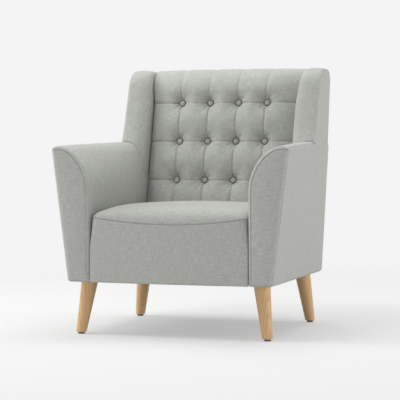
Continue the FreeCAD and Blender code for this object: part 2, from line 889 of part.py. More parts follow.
def side_board(label, outline, inner, thickness, drilled=False):
    """A board on edge at each side, from its outline in side view."""
    for side, sign in SIDES.items():
        name = f"{label}_{side}"
        board = padded_body(f"{name}_board", "YZ_Plane", outline, thickness)
        start = inner if sign > 0 else f"-({inner} + {thickness})"
        board.setExpression(".Placement.Base.x", start)
        if drilled:
            bored(name, board, bores)
        else:
            register(name, board)


def raked_outline(front, low, high):
    """Outline from an upright front edge to the raked front edge of the back posts."""
    return [
        (front, low),
        (tuft_plane(low, "plan.strap_depth"), low),
        (tuft_plane(high, "plan.strap_depth"), high),
        (front, high),
    ]


lining_top = "(dims.arm_height - dims.arm_shoulder)"
side_board(
    "side_rail",
    raked_outline("plan.rail_back", "plan.frame_bottom", "plan.rail_top"),
    "plan.post_x",
    "dims.rail_thickness",
    drilled=True,
)
side_board(
    "arm_tack_rail",
    raked_outline("plan.rail_back", "plan.deck_top", "(plan.deck_top + dims.tack_height)"),
    "plan.lining_x",
    "dims.tack_thickness",
)
side_board(
    "arm_lining",
    raked_outline("plan.rail_back", "plan.deck_top", lining_top),
    "plan.cavity_x",
    "dims.lining_thickness",
)
side_board(
    "back_post",
    [
        (tuft_plane("plan.frame_bottom", "plan.strap_depth"), "plan.frame_bottom"),
        (rear_plane("plan.frame_bottom", "dims.rear_thickness"), "plan.frame_bottom"),
        (rear_plane("plan.post_top", "dims.rear_thickness"), "plan.post_top"),
        (tuft_plane("plan.post_top", "plan.strap_depth"), "plan.post_top"),
    ],
    "plan.post_x",
    "dims.rail_thickness",
    drilled=True,
)
side_board(
    "wing_panel",
    [
        (wing_plane("plan.panel_bottom", "dims.wing_pad"), "plan.panel_bottom"),
        (tuft_plane("plan.panel_bottom", "plan.strap_depth"), "plan.panel_bottom"),
        (tuft_plane("plan.panel_top", "plan.strap_depth"), "plan.panel_top"),
        (wing_plane("plan.panel_top", "(dims.wing_corner / 2)"), "plan.panel_top"),
        (
            wing_plane("(plan.panel_top - dims.wing_corner / 2)", "dims.wing_pad"),
            "plan.panel_top - dims.wing_corner / 2",
        ),
    ],
    "plan.panel_x",
    "dims.panel_thickness",
)


def raked_box(name, low, x_start, x_length, behind, thickness, length):
    """A box lying along the plane of the buttons."""
    piece = doc.addObject("Part::Box", name)
    bind(piece, {"Length": x_length, "Width": thickness, "Height": length})
    piece.Placement = Placement(on_rake(value(x_start), low, value(behind)), RAKED)
    return piece


for label, low in (("back_lower_rail", size.back_rail_low), ("back_top_rail", place.back_rail_high)):
    rail = raked_box(
        f"{label}_blank",
        low,
        "-plan.post_x",
        "2 * plan.post_x",
        "plan.strap_depth",
        "dims.back_rail_thickness",
        "dims.back_rail_height",
    )
    bored(label, rail, bores)
doc.recompute()

# Tuft ties: buttons on the cover, cords through the padding, straps and washers behind it
dome_radius = "((dims.button_radius ^ 2 + dims.button_rise ^ 2) / (2 * dims.button_rise))"
dome = bind(
    doc.addObject("Part::Sphere", "button_dome"),
    {"Radius": dome_radius, ".Placement.Base.z": f"dims.button_rise - {dome_radius}"},
)
button = doc.addObject("Part::Common", "button")
button.Base = dome
button.Tool = cylinder("button_disc", "dims.button_radius", "dims.button_rise")
FACING = Rotation(Vector(0, 0, 1), Vector(0, -cos(back_angle), sin(back_angle)))
REARWARD = Rotation(Vector(0, 0, 1), Vector(0, cos(back_angle), -sin(back_angle)))
tuft_points = [
    (column * size.tuft_pitch, z)
    for z in row_heights
    for column in BUTTON_COLUMNS
]


def at_tufts(master, rotation, behind):
    return placed_copies(master, [Placement(on_rake(x, z, behind), rotation) for x, z in tuft_points])


shape_node("tuft_buttons", at_tufts(button, FACING, 0))
button_room = cylinder("button_room", "dims.button_radius + dims.soft_clearance", "dims.back_pad")
cord = cylinder("cord", "dims.cord_radius", "plan.strap_depth + dims.washer_thickness")
cords = shape_node("tuft_cords", at_tufts(cord, REARWARD, 0))
washer = cylinder("washer", "dims.washer_radius", "dims.washer_thickness")
shape_node("tuft_washers", at_tufts(washer, REARWARD, place.strap_depth).cut(cords.Shape))
straps = []
for index, column in enumerate(BUTTON_COLUMNS):
    strap = raked_box(
        f"strap_{index}",
        size.back_rail_low,
        f"{column} * dims.tuft_pitch - dims.strap_width / 2",
        "dims.strap_width",
        "dims.back_pad",
        "dims.strap_thickness",
        "(plan.back_rail_high - dims.back_rail_low) / cos(dims.back_rake) + dims.back_rail_height / 2",
    )
    straps.append(strap)
doc.recompute()
webbing = Part.makeCompound([strap.Shape for strap in straps]).cut(cords.Shape)
shape_node("back_webbing", webbing)

# Outside back panel, lying on the raked rear face
panel_corners = [
    ("plan.base_x - dims.base_round", "dims.base_height"),
    ("plan.base_x - dims.cover_thickness", "dims.base_height + dims.base_round"),
    (
        "plan.base_x + dims.arm_rear_flare - dims.cover_thickness",
        "plan.arm_rear_height - dims.arm_edge_drop",
    ),
    ("plan.wing_outer_x - dims.cover_thickness", "plan.rear_seam"),
]
panel_outline = [(x, f"({z} - dims.base_height) / cos(dims.rear_rake)") for x, z in panel_corners]
panel_outline += [(f"-({x})", z) for x, z in panel_outline[::-1]]
rear_cover = padded_body("rear_panel", "XZ_Plane", panel_outline, "dims.rear_thickness")
rear_pad = rear_cover.Tip
rim = [
    f"Edge{number}"
    for number, edge in enumerate(rear_pad.Shape.Edges, start=1)
    if all(abs(vertex.Point.y) < TOUCH for vertex in edge.Vertexes)
]
rounding = rear_cover.newObject("PartDesign::Fillet", "rear_panel_rounding")
rounding.Base = (rear_pad, rim)
rounding.setExpression("Radius", "dims.rear_round")
rear_cover.Placement = Placement(
    Vector(0, place.rear_base, size.base_height), Rotation(Vector(1, 0, 0), -size.rear_rake)
)
register("rear_cover", rear_cover)
doc.recompute()

# Back cover and foam
bands = back_bands()
back_cover = loft([cover_section(profile) for profile in bands[0]])
back_foam = loft([foam_section(profile) for profile in bands[0]])
seat_stop = back_cover.fuse(back_foam)
for band in bands[1:]:
    back_cover = back_cover.fuse(loft([cover_section(profile) for profile in band]))
    back_foam = back_foam.fuse(loft([foam_section(profile) for profile in band]))
button_rooms = at_tufts(button_room, FACING, 0)
back_foam = back_foam.cut(back_cover)
for room in (button_rooms, cords.Shape):
    back_cover = back_cover.cut(room)
    back_foam = back_foam.cut(room)
shape_node("back_cover", one_solid(back_cover.cut(rear_cover.Shape)))
shape_node("back_foam", one_solid(back_foam.cut(webbing).cut(nodes["back_top_rail"].Shape)))

# Seat cover and foam: open below the deck, cut to the foot of the back
far = size.base_depth
frame_room = block([-far, far], [place.rail_front, far], [0, place.deck_top])
below = size.base_height - size.cover_thickness
seat_outer = seat_form(0, size.base_height, size.back_side_drop / 2)
seat_core = seat_form(size.cover_thickness, below, size.back_pad)
seat_body = seat_outer.cut(seat_stop)
seat_cover = seat_body.cut(seat_core).cut(frame_room)
seam_x = place.inner_x - size.soft_clearance - size.seat_draw
seam_ends = size.seat_height - seat_roll_at(1)
seam_middle = size.seat_height + size.seat_crown - seat_roll_at(0)
seam_front = place.front_y - 2 * size.seat_bow
below_seam = Part.Wire(
    [
        arc((-seam_x, seam_front, seam_ends), (0, seam_front, seam_middle), (seam_x, seam_front, seam_ends)),
        line((seam_x, seam_front, seam_ends), (far, seam_front, seam_ends)),
        line((far, seam_front, seam_ends), (far, seam_front, 0)),
        line((far, seam_front, 0), (-far, seam_front, 0)),
        line((-far, seam_front, 0), (-far, seam_front, seam_ends)),
        line((-far, seam_front, seam_ends), (-seam_x, seam_front, seam_ends)),
    ]
)
front_room = Part.Face(below_seam).extrude(Vector(0, place.rail_front - seam_front, 0))
shape_node("seat_cover", one_solid(seat_cover.cut(front_room)))
shape_node("seat_front_cover", one_solid(seat_cover.common(front_room)))
shape_node("seat_foam", one_solid(seat_body.common(seat_core).cut(frame_room)))

# Arm and wing covers, foams and posts
deck_bay = block([-place.cavity_x, place.cavity_x], [place.rail_front, far], [0, place.deck_top])
bay_top = on_rake(0, place.back_rail_high, place.strap_depth).z + size.back_rail_height
back_bay = prism(
    [
        (tuft_y(0, size.back_pad), 0),
        (far, 0),
        (far, bay_top),
        (tuft_y(bay_top, size.back_pad), bay_top),
    ],
    [-place.post_x, place.post_x],
)
clear = size.soft_clearance
post_room = prism(
    [
        (tuft_y(0, place.strap_depth - clear), 0),
        (far, 0),
        (far, place.post_top + clear),
        (tuft_y(place.post_top, place.strap_depth - clear), place.post_top + clear),
    ],
    [place.post_x - clear, place.frame_x + clear],
)
outside = -size.front_pad
arm_outer = arm_form(NO_PAD, size.rear_thickness, size.arm_front_round)
arm_core = arm_form(COVER_PAD, outside, size.arm_front_round - size.cover_thickness)
arm_cavity = arm_form(FRAME_PAD, outside)
arm_cover = arm_outer.cut(arm_core)
arm_foam = arm_outer.common(arm_core).cut(arm_cavity)
for room in (deck_bay, back_bay, post_room):
    arm_cover = arm_cover.cut(room)
    arm_foam = arm_foam.cut(room)
arm_cover = arm_cover.cut(plate_room)
facing_room = arm_form(padding(-size.cover_thickness, *[size.facing_seam] * 3), outside).common(
    block([0, far], [-far, place.front_y + size.cover_thickness], [0, far])
)
arm_facing = arm_cover.common(facing_room)
arm_cover = arm_cover.cut(facing_room)
post_slab = block([0, far], [place.rail_front, place.rail_back], [0, far])
arm_post = arm_form(POST_PAD, outside).common(post_slab).cut(bores.Shape)

wing_foot = size.arm_height - size.arm_shoulder - size.base_round
wing_body = wing_form(0, wing_foot, size.rear_thickness).cut(arm_outer)
wing_core = wing_form(size.cover_thickness, wing_foot - size.base_round, outside)
wing_cover = wing_body.cut(wing_core).cut(back_bay)
wing_foam = wing_body.common(wing_core).cut(back_bay).cut(post_room)
wing_foam = wing_foam.cut(nodes["wing_panel_right"].Shape)

rail_low = size.arm_rail_drop + size.arm_rail_height
front_edge, front_crest = arm_station(place.rail_back)
front_left = front_edge - size.arm_edge - size.arm_rail_inset


def arm_rail_section(left, crest, y_at):
    corners = [
        (left, crest - rail_low),
        (left + size.rail_thickness, crest - rail_low),
        (left + size.rail_thickness, crest - size.arm_rail_drop),
        (left, crest - size.arm_rail_drop),
    ]
    points = [Vector(x, y_at(z), z) for x, z in corners]
    return Part.makePolygon(points + points[:1])


arm_rail = loft(
    [
        arm_rail_section(front_left, front_crest, lambda z: place.rail_back),
        arm_rail_section(place.post_x, place.arm_rear_height, lambda z: tuft_y(z, place.strap_depth)),
    ],
    ruled=True,
)
for side, sign in SIDES.items():
    for label, shape in (
        ("arm_cover", arm_cover),
        ("arm_facing", arm_facing),
        ("arm_foam", arm_foam),
        ("arm_post", arm_post),
        ("arm_top_rail", arm_rail),
        ("wing_cover", wing_cover),
        ("wing_foam", wing_foam),
    ):
        shape_node(f"{label}_{side}", mirrored(one_solid(shape), sign))

# Dust cover under the frame, cut out round the leg plates
dust_sheet = box(
    "dust_sheet",
    ("-plan.cavity_x", "plan.rail_front", "plan.frame_bottom - dims.dust_thickness"),
    (
        "2 * plan.cavity_x",
        rear_plane("(plan.frame_bottom - dims.dust_thickness)", "dims.rear_thickness") + " - plan.rail_front",
        "dims.dust_thickness",
    ),
)
plate_openings = doc.addObject("Part::Feature", "plate_openings")
plate_openings.Shape = plate_room
bored("dust_cover", dust_sheet, plate_openings)


# Springs: flat serpentine wires from the front rail to the rear rail, held by clips
def spring_path(start, end):
    """Runs across X joined by round turns, from one rail to the other."""
    turns = round((end - start) / (2 * size.spring_turn))
    radius = (end - start) / (2 * turns)
    half = size.spring_half_width - radius
    edges = []
    for turn in range(turns + 1):
        y = start + 2 * radius * turn
        way = 1 if turn % 2 == 0 else -1
        edges.append(line((-way * half, y, 0), (way * half, y, 0)))
        if turn < turns:
            tip = (way * (half + radius), y + radius, 0)
            diagonal = radius * sin(pi / 4)
            first = (way * (half + diagonal), y + radius - diagonal, 0)
            second = (way * (half + diagonal), y + radius + diagonal, 0)
            edges.append(arc((way * half, y, 0), first, tip))
            edges.append(arc(tip, second, (way * half, y + 2 * radius, 0)))
    return Part.Wire(edges)


spring_start = place.rail_front + size.rail_thickness / 2
spring_end = rear_rail_front + size.rail_thickness / 2
path = spring_path(spring_start, spring_end)
wire_start = path.Edges[0].Vertexes[0].Point
wire_round = Part.Wire(Part.makeCircle(size.spring_wire, wire_start, Vector(1, 0, 0)))
spring = path.makePipeShell([wire_round], True, False)
spring_count = int(size.spring_count)
spring_lines = [(index - (spring_count - 1) / 2) * size.spring_pitch for index in range(spring_count)]
springs = [spring.translated(Vector(x, 0, place.spring_z)) for x in spring_lines]
shape_node("seat_springs", Part.makeCompound(springs))
clip = padded_body(
    "clip",
    "YZ_Plane",
    [
        ("-dims.clip_length / 2", "0"),
        ("dims.clip_length / 2", "0"),
        ("dims.clip_length / 2", "dims.clip_thickness"),
        ("-dims.clip_length / 2 + dims.clip_thickness", "dims.clip_thickness"),
        ("-dims.clip_length / 2 + dims.clip_thickness", "dims.clip_thickness + 2 * dims.spring_wire"),
        ("dims.clip_length / 2", "dims.clip_thickness + 2 * dims.spring_wire"),
        ("dims.clip_length / 2", "2 * dims.clip_thickness + 2 * dims.spring_wire"),
        ("-dims.clip_length / 2", "2 * dims.clip_thickness + 2 * dims.spring_wire"),
    ],
    "dims.clip_width",
)
half_clip = size.clip_width / 2
clip_places = []
for x in spring_lines:
    clip_places.append(upright(x - half_clip, spring_start, place.rail_top))
    clip_places.append(
        Placement(Vector(x + half_clip, spring_end, place.rail_top), Rotation(Vector(0, 0, 1), 180))
    )
shape_node("spring_clips", placed_copies(clip, clip_places))
spring_pad = box(
    "spring_pad",
    ("-plan.inner_x + dims.spring_pad_margin", "plan.rail_back", "plan.deck_bottom"),
    (
        "2 * (plan.inner_x - dims.spring_pad_margin)",
        rear_plane("plan.frame_bottom", "dims.rear_thickness") + " - dims.rail_thickness - plan.rail_back",
        "dims.spring_pad_thickness",
    ),
)
register("spring_pad", spring_pad)

doc.recompute()
for item in doc.Objects:
    if "Invalid" in item.State or "Error" in item.State:
        raise ValueError(f"{item.Label} did not compute")
for label, piece in nodes.items():
    if piece.Shape.isNull() or not piece.Shape.isValid():
        raise ValueError(f"{label} has no valid shape")

os.makedirs("parts", exist_ok=True)
for label, piece in nodes.items():
    piece.Shape.exportStep(f"parts/{label}.step")
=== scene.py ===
"""Looks of an upholstered wing armchair: covers, tufted back, seat, legs, hidden frame and studio."""

import json
import logging
from dataclasses import dataclass, field
from enum import Enum
from math import cos, pi, radians, sin, tan
from typing import Callable, ClassVar

import bpy
import numpy as np
from bpy.types import Material, Node, NodeSocket, NodeTree, Object
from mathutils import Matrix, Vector


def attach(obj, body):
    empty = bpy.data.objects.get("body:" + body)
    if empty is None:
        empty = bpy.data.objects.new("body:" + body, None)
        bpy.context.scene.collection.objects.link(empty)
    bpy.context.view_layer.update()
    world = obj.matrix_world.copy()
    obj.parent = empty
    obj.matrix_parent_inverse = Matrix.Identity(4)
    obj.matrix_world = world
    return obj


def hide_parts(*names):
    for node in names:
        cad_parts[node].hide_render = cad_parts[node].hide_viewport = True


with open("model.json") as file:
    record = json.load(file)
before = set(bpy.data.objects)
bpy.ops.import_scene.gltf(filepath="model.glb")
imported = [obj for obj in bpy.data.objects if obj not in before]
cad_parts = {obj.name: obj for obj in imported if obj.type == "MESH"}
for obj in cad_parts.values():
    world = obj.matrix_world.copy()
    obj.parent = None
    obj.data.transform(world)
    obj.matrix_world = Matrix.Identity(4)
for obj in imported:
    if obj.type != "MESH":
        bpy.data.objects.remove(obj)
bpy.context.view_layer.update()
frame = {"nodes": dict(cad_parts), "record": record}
BODY = "root"
CLOTH_MAP = "cloth"
FULL = 1.0
LOG = logging.getLogger("armchair")

Array = np.ndarray
Values = float | Array
Color = tuple[float, float, float, float]
Place = tuple[float, float, float]
Cells = tuple[int, int, int]
Shaping = Callable[[Array], Array]


class Side(Enum):
    """Sides of the chair as seen by someone who faces it."""

    LEFT = -1
    RIGHT = 1

    @property
    def label(self) -> str:
        """Name of the side as the solids' names end."""
        return self.name.lower()


class Axis(Enum):
    """Directions of a raw block."""

    X = 0
    Y = 1
    Z = 2


@dataclass(frozen=True)
class ChairPlan:
    """Main planes and heights of the chair, in metres."""

    seat_half: float = 0.264
    base_half: float = 0.3425
    front: float = -0.37657
    rear_base: float = 0.27443
    base_height: float = 0.172
    rear_rake: float = radians(8.6)
    rear_cover: float = 0.004
    back_rake: float = radians(13.5)
    back_setback: float = 0.525
    seat_height: float = 0.411
    wing_setback: float = 0.505
    wing_slope: float = radians(18)
    arm_height: float = 0.607
    gap: float = 0.0005
    lean_from: float = 0.74
    lean_to: float = 0.87
    lean_most: float = 0.014
    lean_power: float = 1.5

    def rear_y(self, z: Values, inside: float = 0.0) -> Values:
        """Y of the raked outside of the back."""
        rise = (z - self.base_height) * tan(self.rear_rake)
        return self.rear_base + rise - inside / cos(self.rear_rake)

    def tuft_y(self, z: Values) -> Values:
        """Y of the plane that the buttons lie on, at each height z."""
        return self.front + self.back_setback + (z - self.seat_height) * tan(self.back_rake)

    def wing_y(self, z: Values, inside: Values = 0.0) -> Values:
        """Y of the wing's sloping front edge."""
        rise = (z - self.arm_height) * tan(self.wing_slope)
        return self.front + self.wing_setback + rise + inside / cos(self.wing_slope)

    def lean(self, z: Array) -> Array:
        """Distance by which back and wings meet further out towards their top, at each height z."""
        share = np.clip((z - self.lean_from) / (self.lean_to - self.lean_from), 0, 1)
        return self.lean_most * share**self.lean_power


PLAN = ChairPlan()


@dataclass(frozen=True)
class Swelling:
    """How a held cover swells, in Blender's units of cloth, and the longest way of a point in metres."""

    pressure: float = 12.0
    most: float = 0.008
    mass: float = 0.001
    stretch: float = 1.0
    shear: float = 0.5
    bend: float = 0.05
    frames: int = 20


class Workbench:
    """Raw blocks, tubes and sheets, and the operations that turn them into pieces."""

    PARALLEL = 0.999
    TINY = 1e-6
    SHARP = 60.0

    @staticmethod
    def clear() -> None:
        """Leaves edit mode and deselects every object."""
        if bpy.context.object and bpy.context.object.mode != "OBJECT":
            bpy.ops.object.mode_set(mode="OBJECT")
        bpy.ops.object.select_all(action="DESELECT")

    @staticmethod
    def take(piece: Object) -> None:
        """Selects one piece alone and makes it active.

        Args:
            piece: The piece to work on.
        """
        Workbench.clear()
        piece.select_set(True)
        bpy.context.view_layer.objects.active = piece

    @staticmethod
    def points(piece: Object) -> Array:
        """Vertices of a piece.

        Args:
            piece: A mesh piece.

        Returns:
            An array with one row of X, Y and Z per vertex.
        """
        found = np.empty(len(piece.data.vertices) * 3)
        piece.data.vertices.foreach_get("co", found)
        return found.reshape(-1, 3)

    @staticmethod
    def move(piece: Object, places: Array) -> None:
        """Puts every vertex of a piece at its new place."""
        piece.data.vertices.foreach_set("co", places.astype(np.float32).ravel())
        piece.data.update()

    @staticmethod
    def cut(piece: Object, axis: Axis, cuts: int) -> None:
        """Cuts a raw block across the edges that run along one axis.

        Args:
            piece: The block.
            axis: Direction of the edges to cut.
            cuts: Number of cuts.
        """
        mesh = piece.data
        ends = np.empty(len(mesh.edges) * 2, dtype=int)
        mesh.edges.foreach_get("vertices", ends)
        places = Workbench.points(piece)
        run = np.abs(places[ends[0::2]] - places[ends[1::2]])
        along = run[:, axis.value] > Workbench.PARALLEL * np.linalg.norm(run, axis=1)
        mesh.vertices.foreach_set("select", np.zeros(len(mesh.vertices), dtype=bool))
        mesh.polygons.foreach_set("select", np.zeros(len(mesh.polygons), dtype=bool))
        mesh.edges.foreach_set("select", along)
        bpy.context.tool_settings.mesh_select_mode = (False, True, False)
        bpy.ops.object.mode_set(mode="EDIT")
        bpy.ops.mesh.subdivide(number_cuts=cuts)
        bpy.ops.object.mode_set(mode="OBJECT")

    @staticmethod
    def named(name: str) -> Object:
        """Names the primitive that was just added.

        Args:
            name: Name of the piece and its mesh.

        Returns:
            The active object.
        """
        piece = bpy.context.object
        piece.name = name
        piece.data.name = name
        return piece

    @staticmethod
    def block(name: str, cells: Cells) -> Object:
        """A unit block from 0 to 1 on each axis, cut into cells.

        Args:
            name: Name of the piece.
            cells: Number of cells along X, Y and Z.

        Returns:
            The block.
        """
        Workbench.clear()
        bpy.ops.mesh.primitive_cube_add(size=1.0)
        piece = Workbench.named(name)
        for axis in Axis:
            if cells[axis.value] > 1:
                Workbench.cut(piece, axis, cells[axis.value] - 1)
        Workbench.move(piece, Workbench.points(piece) + 0.5)
        return piece

    @staticmethod
    def tube(name: str, rings: Array, angle: float = SHARP) -> Object:
        """A closed, softened tube through rings of points.

        Args:
            name: Name of the piece.
            rings: Array of rings, points in a ring and X, Y, Z.
            angle: Least angle of a sharp edge, in degrees.

        Returns:
            The tube, with a flat end at its first and last ring.
        """
        count, around = rings.shape[:2]
        Workbench.clear()
        bpy.ops.mesh.primitive_cylinder_add(vertices=around, radius=1.0, depth=1.0, end_fill_type="NGON")
        piece = Workbench.named(name)
        if count > 2:
            Workbench.cut(piece, Axis.Z, count - 2)
        places = Workbench.points(piece)
        turn = np.arctan2(places[:, 1], places[:, 0]) / (2 * pi)
        spoke = np.rint(turn * around).astype(int) % around
        ring = np.rint((places[:, 2] + 0.5) * (count - 1)).astype(int)
        Workbench.move(piece, rings[ring, spoke])
        Workbench.close(piece)
        Workbench.soften(piece, angle)
        return piece

    @staticmethod
    def mould(name: str, cells: Cells, shape: Shaping, rounded: bool = True) -> Object:
        """A closed, softened piece moulded from a unit block.

        Args:
            name: Name of the piece.
            cells: Number of cells along X, Y and Z.
            shape: Turns places in the block into places on the piece.
            rounded: True to round the piece.

        Returns:
            The piece.
        """
        piece = Workbench.block(name, cells)
        Workbench.move(piece, shape(Workbench.points(piece)))
        Workbench.close(piece)
        if rounded:
            Workbench.subdivide(piece)
        Workbench.soften(piece)
        return piece

    @staticmethod
    def sheet(name: str, places: Array) -> Object:
        """A sheet through a grid of points.

        Args:
            name: Name of the piece.
            places: Array of rows, columns and X, Y, Z.

        Returns:
            The sheet.
        """
        rows, columns = places.shape[:2]
        Workbench.clear()
        bpy.ops.mesh.primitive_grid_add(x_subdivisions=columns - 1, y_subdivisions=rows - 1, size=1.0)
        piece = Workbench.named(name)
        raw = Workbench.points(piece) + 0.5
        column = np.rint(raw[:, 0] * (columns - 1)).astype(int)
        row = np.rint(raw[:, 1] * (rows - 1)).astype(int)
        Workbench.move(piece, places[row, column])
        return piece

    @staticmethod
    def swell(piece: Object, held: Array, plan: Swelling) -> None:
        """Lets a cover swell under pressure, as cloth that is held at some of its points.

        Args:
            piece: The cover.
            held: How firmly each point is held, from 0 to 1.
            plan: Pressure, cloth and number of steps.
        """
        start = Workbench.points(piece)
        group = piece.vertex_groups.new(name="held")
        for level in np.unique(held):
            group.add(np.flatnonzero(held == level).tolist(), float(level), "REPLACE")
        Workbench.take(piece)
        bpy.ops.object.modifier_add(type="CLOTH")
        cloth = piece.modifiers[-1]
        settings = {
            "vertex_group_mass": group.name,
            "mass": plan.mass,
            "tension_stiffness": plan.stretch,
            "compression_stiffness": plan.stretch,
            "shear_stiffness": plan.shear,
            "bending_stiffness": plan.bend,
            "use_pressure": True,
            "uniform_pressure_force": plan.pressure,
        }
        for name, value in settings.items():
            setattr(cloth.settings, name, value)
        cloth.settings.effector_weights.gravity = 0.0
        cloth.point_cache.frame_end = plan.frames
        for step in range(1, plan.frames + 1):
            bpy.context.scene.frame_set(step)
        bpy.ops.object.modifier_apply(modifier=cloth.name)
        bpy.context.scene.frame_set(1)
        piece.vertex_groups.clear()
        way = Workbench.points(piece) - start
        length = np.linalg.norm(way, axis=1)
        LOG.info("%s: swells by up to %.1f mm", piece.name, length.max() * 1000)
        share = np.minimum(1, plan.most / np.maximum(length, Workbench.TINY))
        Workbench.move(piece, start + way * share[:, None])

    @staticmethod
    def subdivide(piece: Object) -> None:
        """Rounds a piece with one level of a subdivision surface.

        Args:
            piece: The piece.
        """
        Workbench.take(piece)
        modifier = piece.modifiers.new("Round", "SUBSURF")
        modifier.levels = modifier.render_levels = 1
        bpy.ops.object.modifier_apply(modifier=modifier.name)

    @staticmethod
    def close(piece: Object) -> None:
        """Merges double points and turns all faces outwards.

        Args:
            piece: The piece.
        """
        Workbench.take(piece)
        bpy.ops.object.mode_set(mode="EDIT")
        bpy.ops.mesh.select_all(action="SELECT")
        bpy.ops.mesh.remove_doubles(threshold=Workbench.TINY)
        bpy.ops.mesh.normals_make_consistent(inside=False)
        bpy.ops.object.mode_set(mode="OBJECT")

    @staticmethod
    def soften(piece: Object, angle: float = SHARP) -> None:
        """Shades a piece smoothly, apart from edges sharper than an angle in degrees."""
        Workbench.take(piece)
        bpy.ops.object.shade_smooth_by_angle(angle=radians(angle))

    @staticmethod
    def lay_cloth(piece: Object) -> None:
        """Gives a piece a map in metres on which woven patterns lie, from the side each face looks to.

        Args:
            piece: The piece.
        """
        mesh = piece.data
        places = Workbench.points(piece)
        facing = np.empty(len(mesh.polygons) * 3)
        mesh.polygons.foreach_get("normal", facing)
        main = np.abs(facing.reshape(-1, 3)).argmax(axis=1)
        lengths = np.empty(len(mesh.polygons), dtype=int)
        mesh.polygons.foreach_get("loop_total", lengths)
        corners = np.empty(len(mesh.loops), dtype=int)
        mesh.loops.foreach_get("vertex_index", corners)
        flat = np.array(((1, 2), (0, 2), (0, 1)))[np.repeat(main, lengths)]
        pair = np.take_along_axis(places[corners], flat, axis=1)
        layer = mesh.uv_layers.new(name=CLOTH_MAP)
        layer.data.foreach_set("uv", pair.astype(np.float32).ravel())


def arch(share: Array, power: float) -> Array:
    """Drop of a soft edge: 0 in the middle, 1 at both edges, square to the faces there."""
    return 1 - (1 - np.clip(np.abs(share), 0, 1) ** power) ** (1 / power)


def turned_edge(distance: Array, radius: Values) -> Array:
    """Drop of an edge that is rounded with a radius, at distances from the edge."""
    short = np.clip(radius - distance, 0, radius)
    return radius - np.sqrt(radius**2 - short**2)


def along(line: Array, share: Array) -> Array:
    """Points on a line at shares of its length.

    Args:
        line: One row of coordinates per point of the line.
        share: Shares of the length from 0 to 1.

    Returns:
        One row of coordinates per share.
    """
    steps = np.linalg.norm(np.diff(line, axis=0), axis=1)
    run = np.concatenate(([0], np.cumsum(steps))) / steps.sum()
    return np.column_stack([np.interp(share, run, column) for column in line.T])


def eased(share: Array) -> Array:
    """Places from 0 to 1, closer together towards both ends."""
    return (1 - np.cos(pi * share)) / 2


class NodeBoard:
    """Adds shader nodes to a tree and joins them."""

    def __init__(self, tree: NodeTree) -> None:
        """Starts on a node tree."""
        self.tree = tree

    def add(self, kind: str, inputs: dict[str | int, object] | None = None, **settings: object) -> Node:
        """Adds a node.

        Args:
            kind: Type of the node.
            inputs: Values or sockets for its inputs, by name or number.
            settings: Properties of the node by name.

        Returns:
            The node.
        """
        node = self.tree.nodes.new(kind)
        for name, value in settings.items():
            setattr(node, name, value)
        for name, value in (inputs or {}).items():
            self.feed(node.inputs[name], value)
        return node

    def feed(self, socket: NodeSocket, value: object) -> None:
        """Links a socket to an input, or sets the input's value.

        Args:
            socket: The input.
            value: A socket or a plain value.
        """
        if isinstance(value, NodeSocket):
            self.tree.links.new(value, socket)
        else:
            socket.default_value = value

    def math(self, operation: str, *values: object) -> NodeSocket:
        """Adds a Math node."""
        return self.add("ShaderNodeMath", dict(enumerate(values)), operation=operation).outputs[0]

    def blend(self, factor: object, first: object, second: object, mode: str = "MIX") -> NodeSocket:
        """Mixes two colours.

        Args:
            factor: Share of the second colour.
            first: A socket or a colour.
            second: A socket or a colour.
            mode: Name of the blend.

        Returns:
            The mixed colour.
        """
        node = self.add("ShaderNodeMix", data_type="RGBA", blend_type=mode)
        self.feed(node.inputs[0], factor)
        self.feed(node.inputs[6], first)
        self.feed(node.inputs[7], second)
        return node.outputs[2]

    def vector(self, x: object, y: object, z: object = 0.0) -> NodeSocket:
        """Joins three values to a vector."""
        return self.add("ShaderNodeCombineXYZ", {0: x, 1: y, 2: z}).outputs[0]

    def noise(self, vector: object, scale: float, detail: float = 2.0) -> NodeSocket:
        """Adds a Noise Texture."""
        return self.add("ShaderNodeTexNoise", {"Vector": vector, "Scale": scale, "Detail": detail}).outputs[0]

    def ramp(self, value: object, low: float, high: float) -> NodeSocket:
        """Maps a value smoothly from a range to 0 and 1."""
        node = self.add("ShaderNodeMapRange", {0: value, 1: low, 2: high}, interpolation_type="SMOOTHSTEP")
        return node.outputs[0]


class Effect(Enum):
    """Surface effects that several materials share."""

    WEAVE = "plain_weave"
    GRAIN = "wood_grain"
    SPECKLE = "speckle"


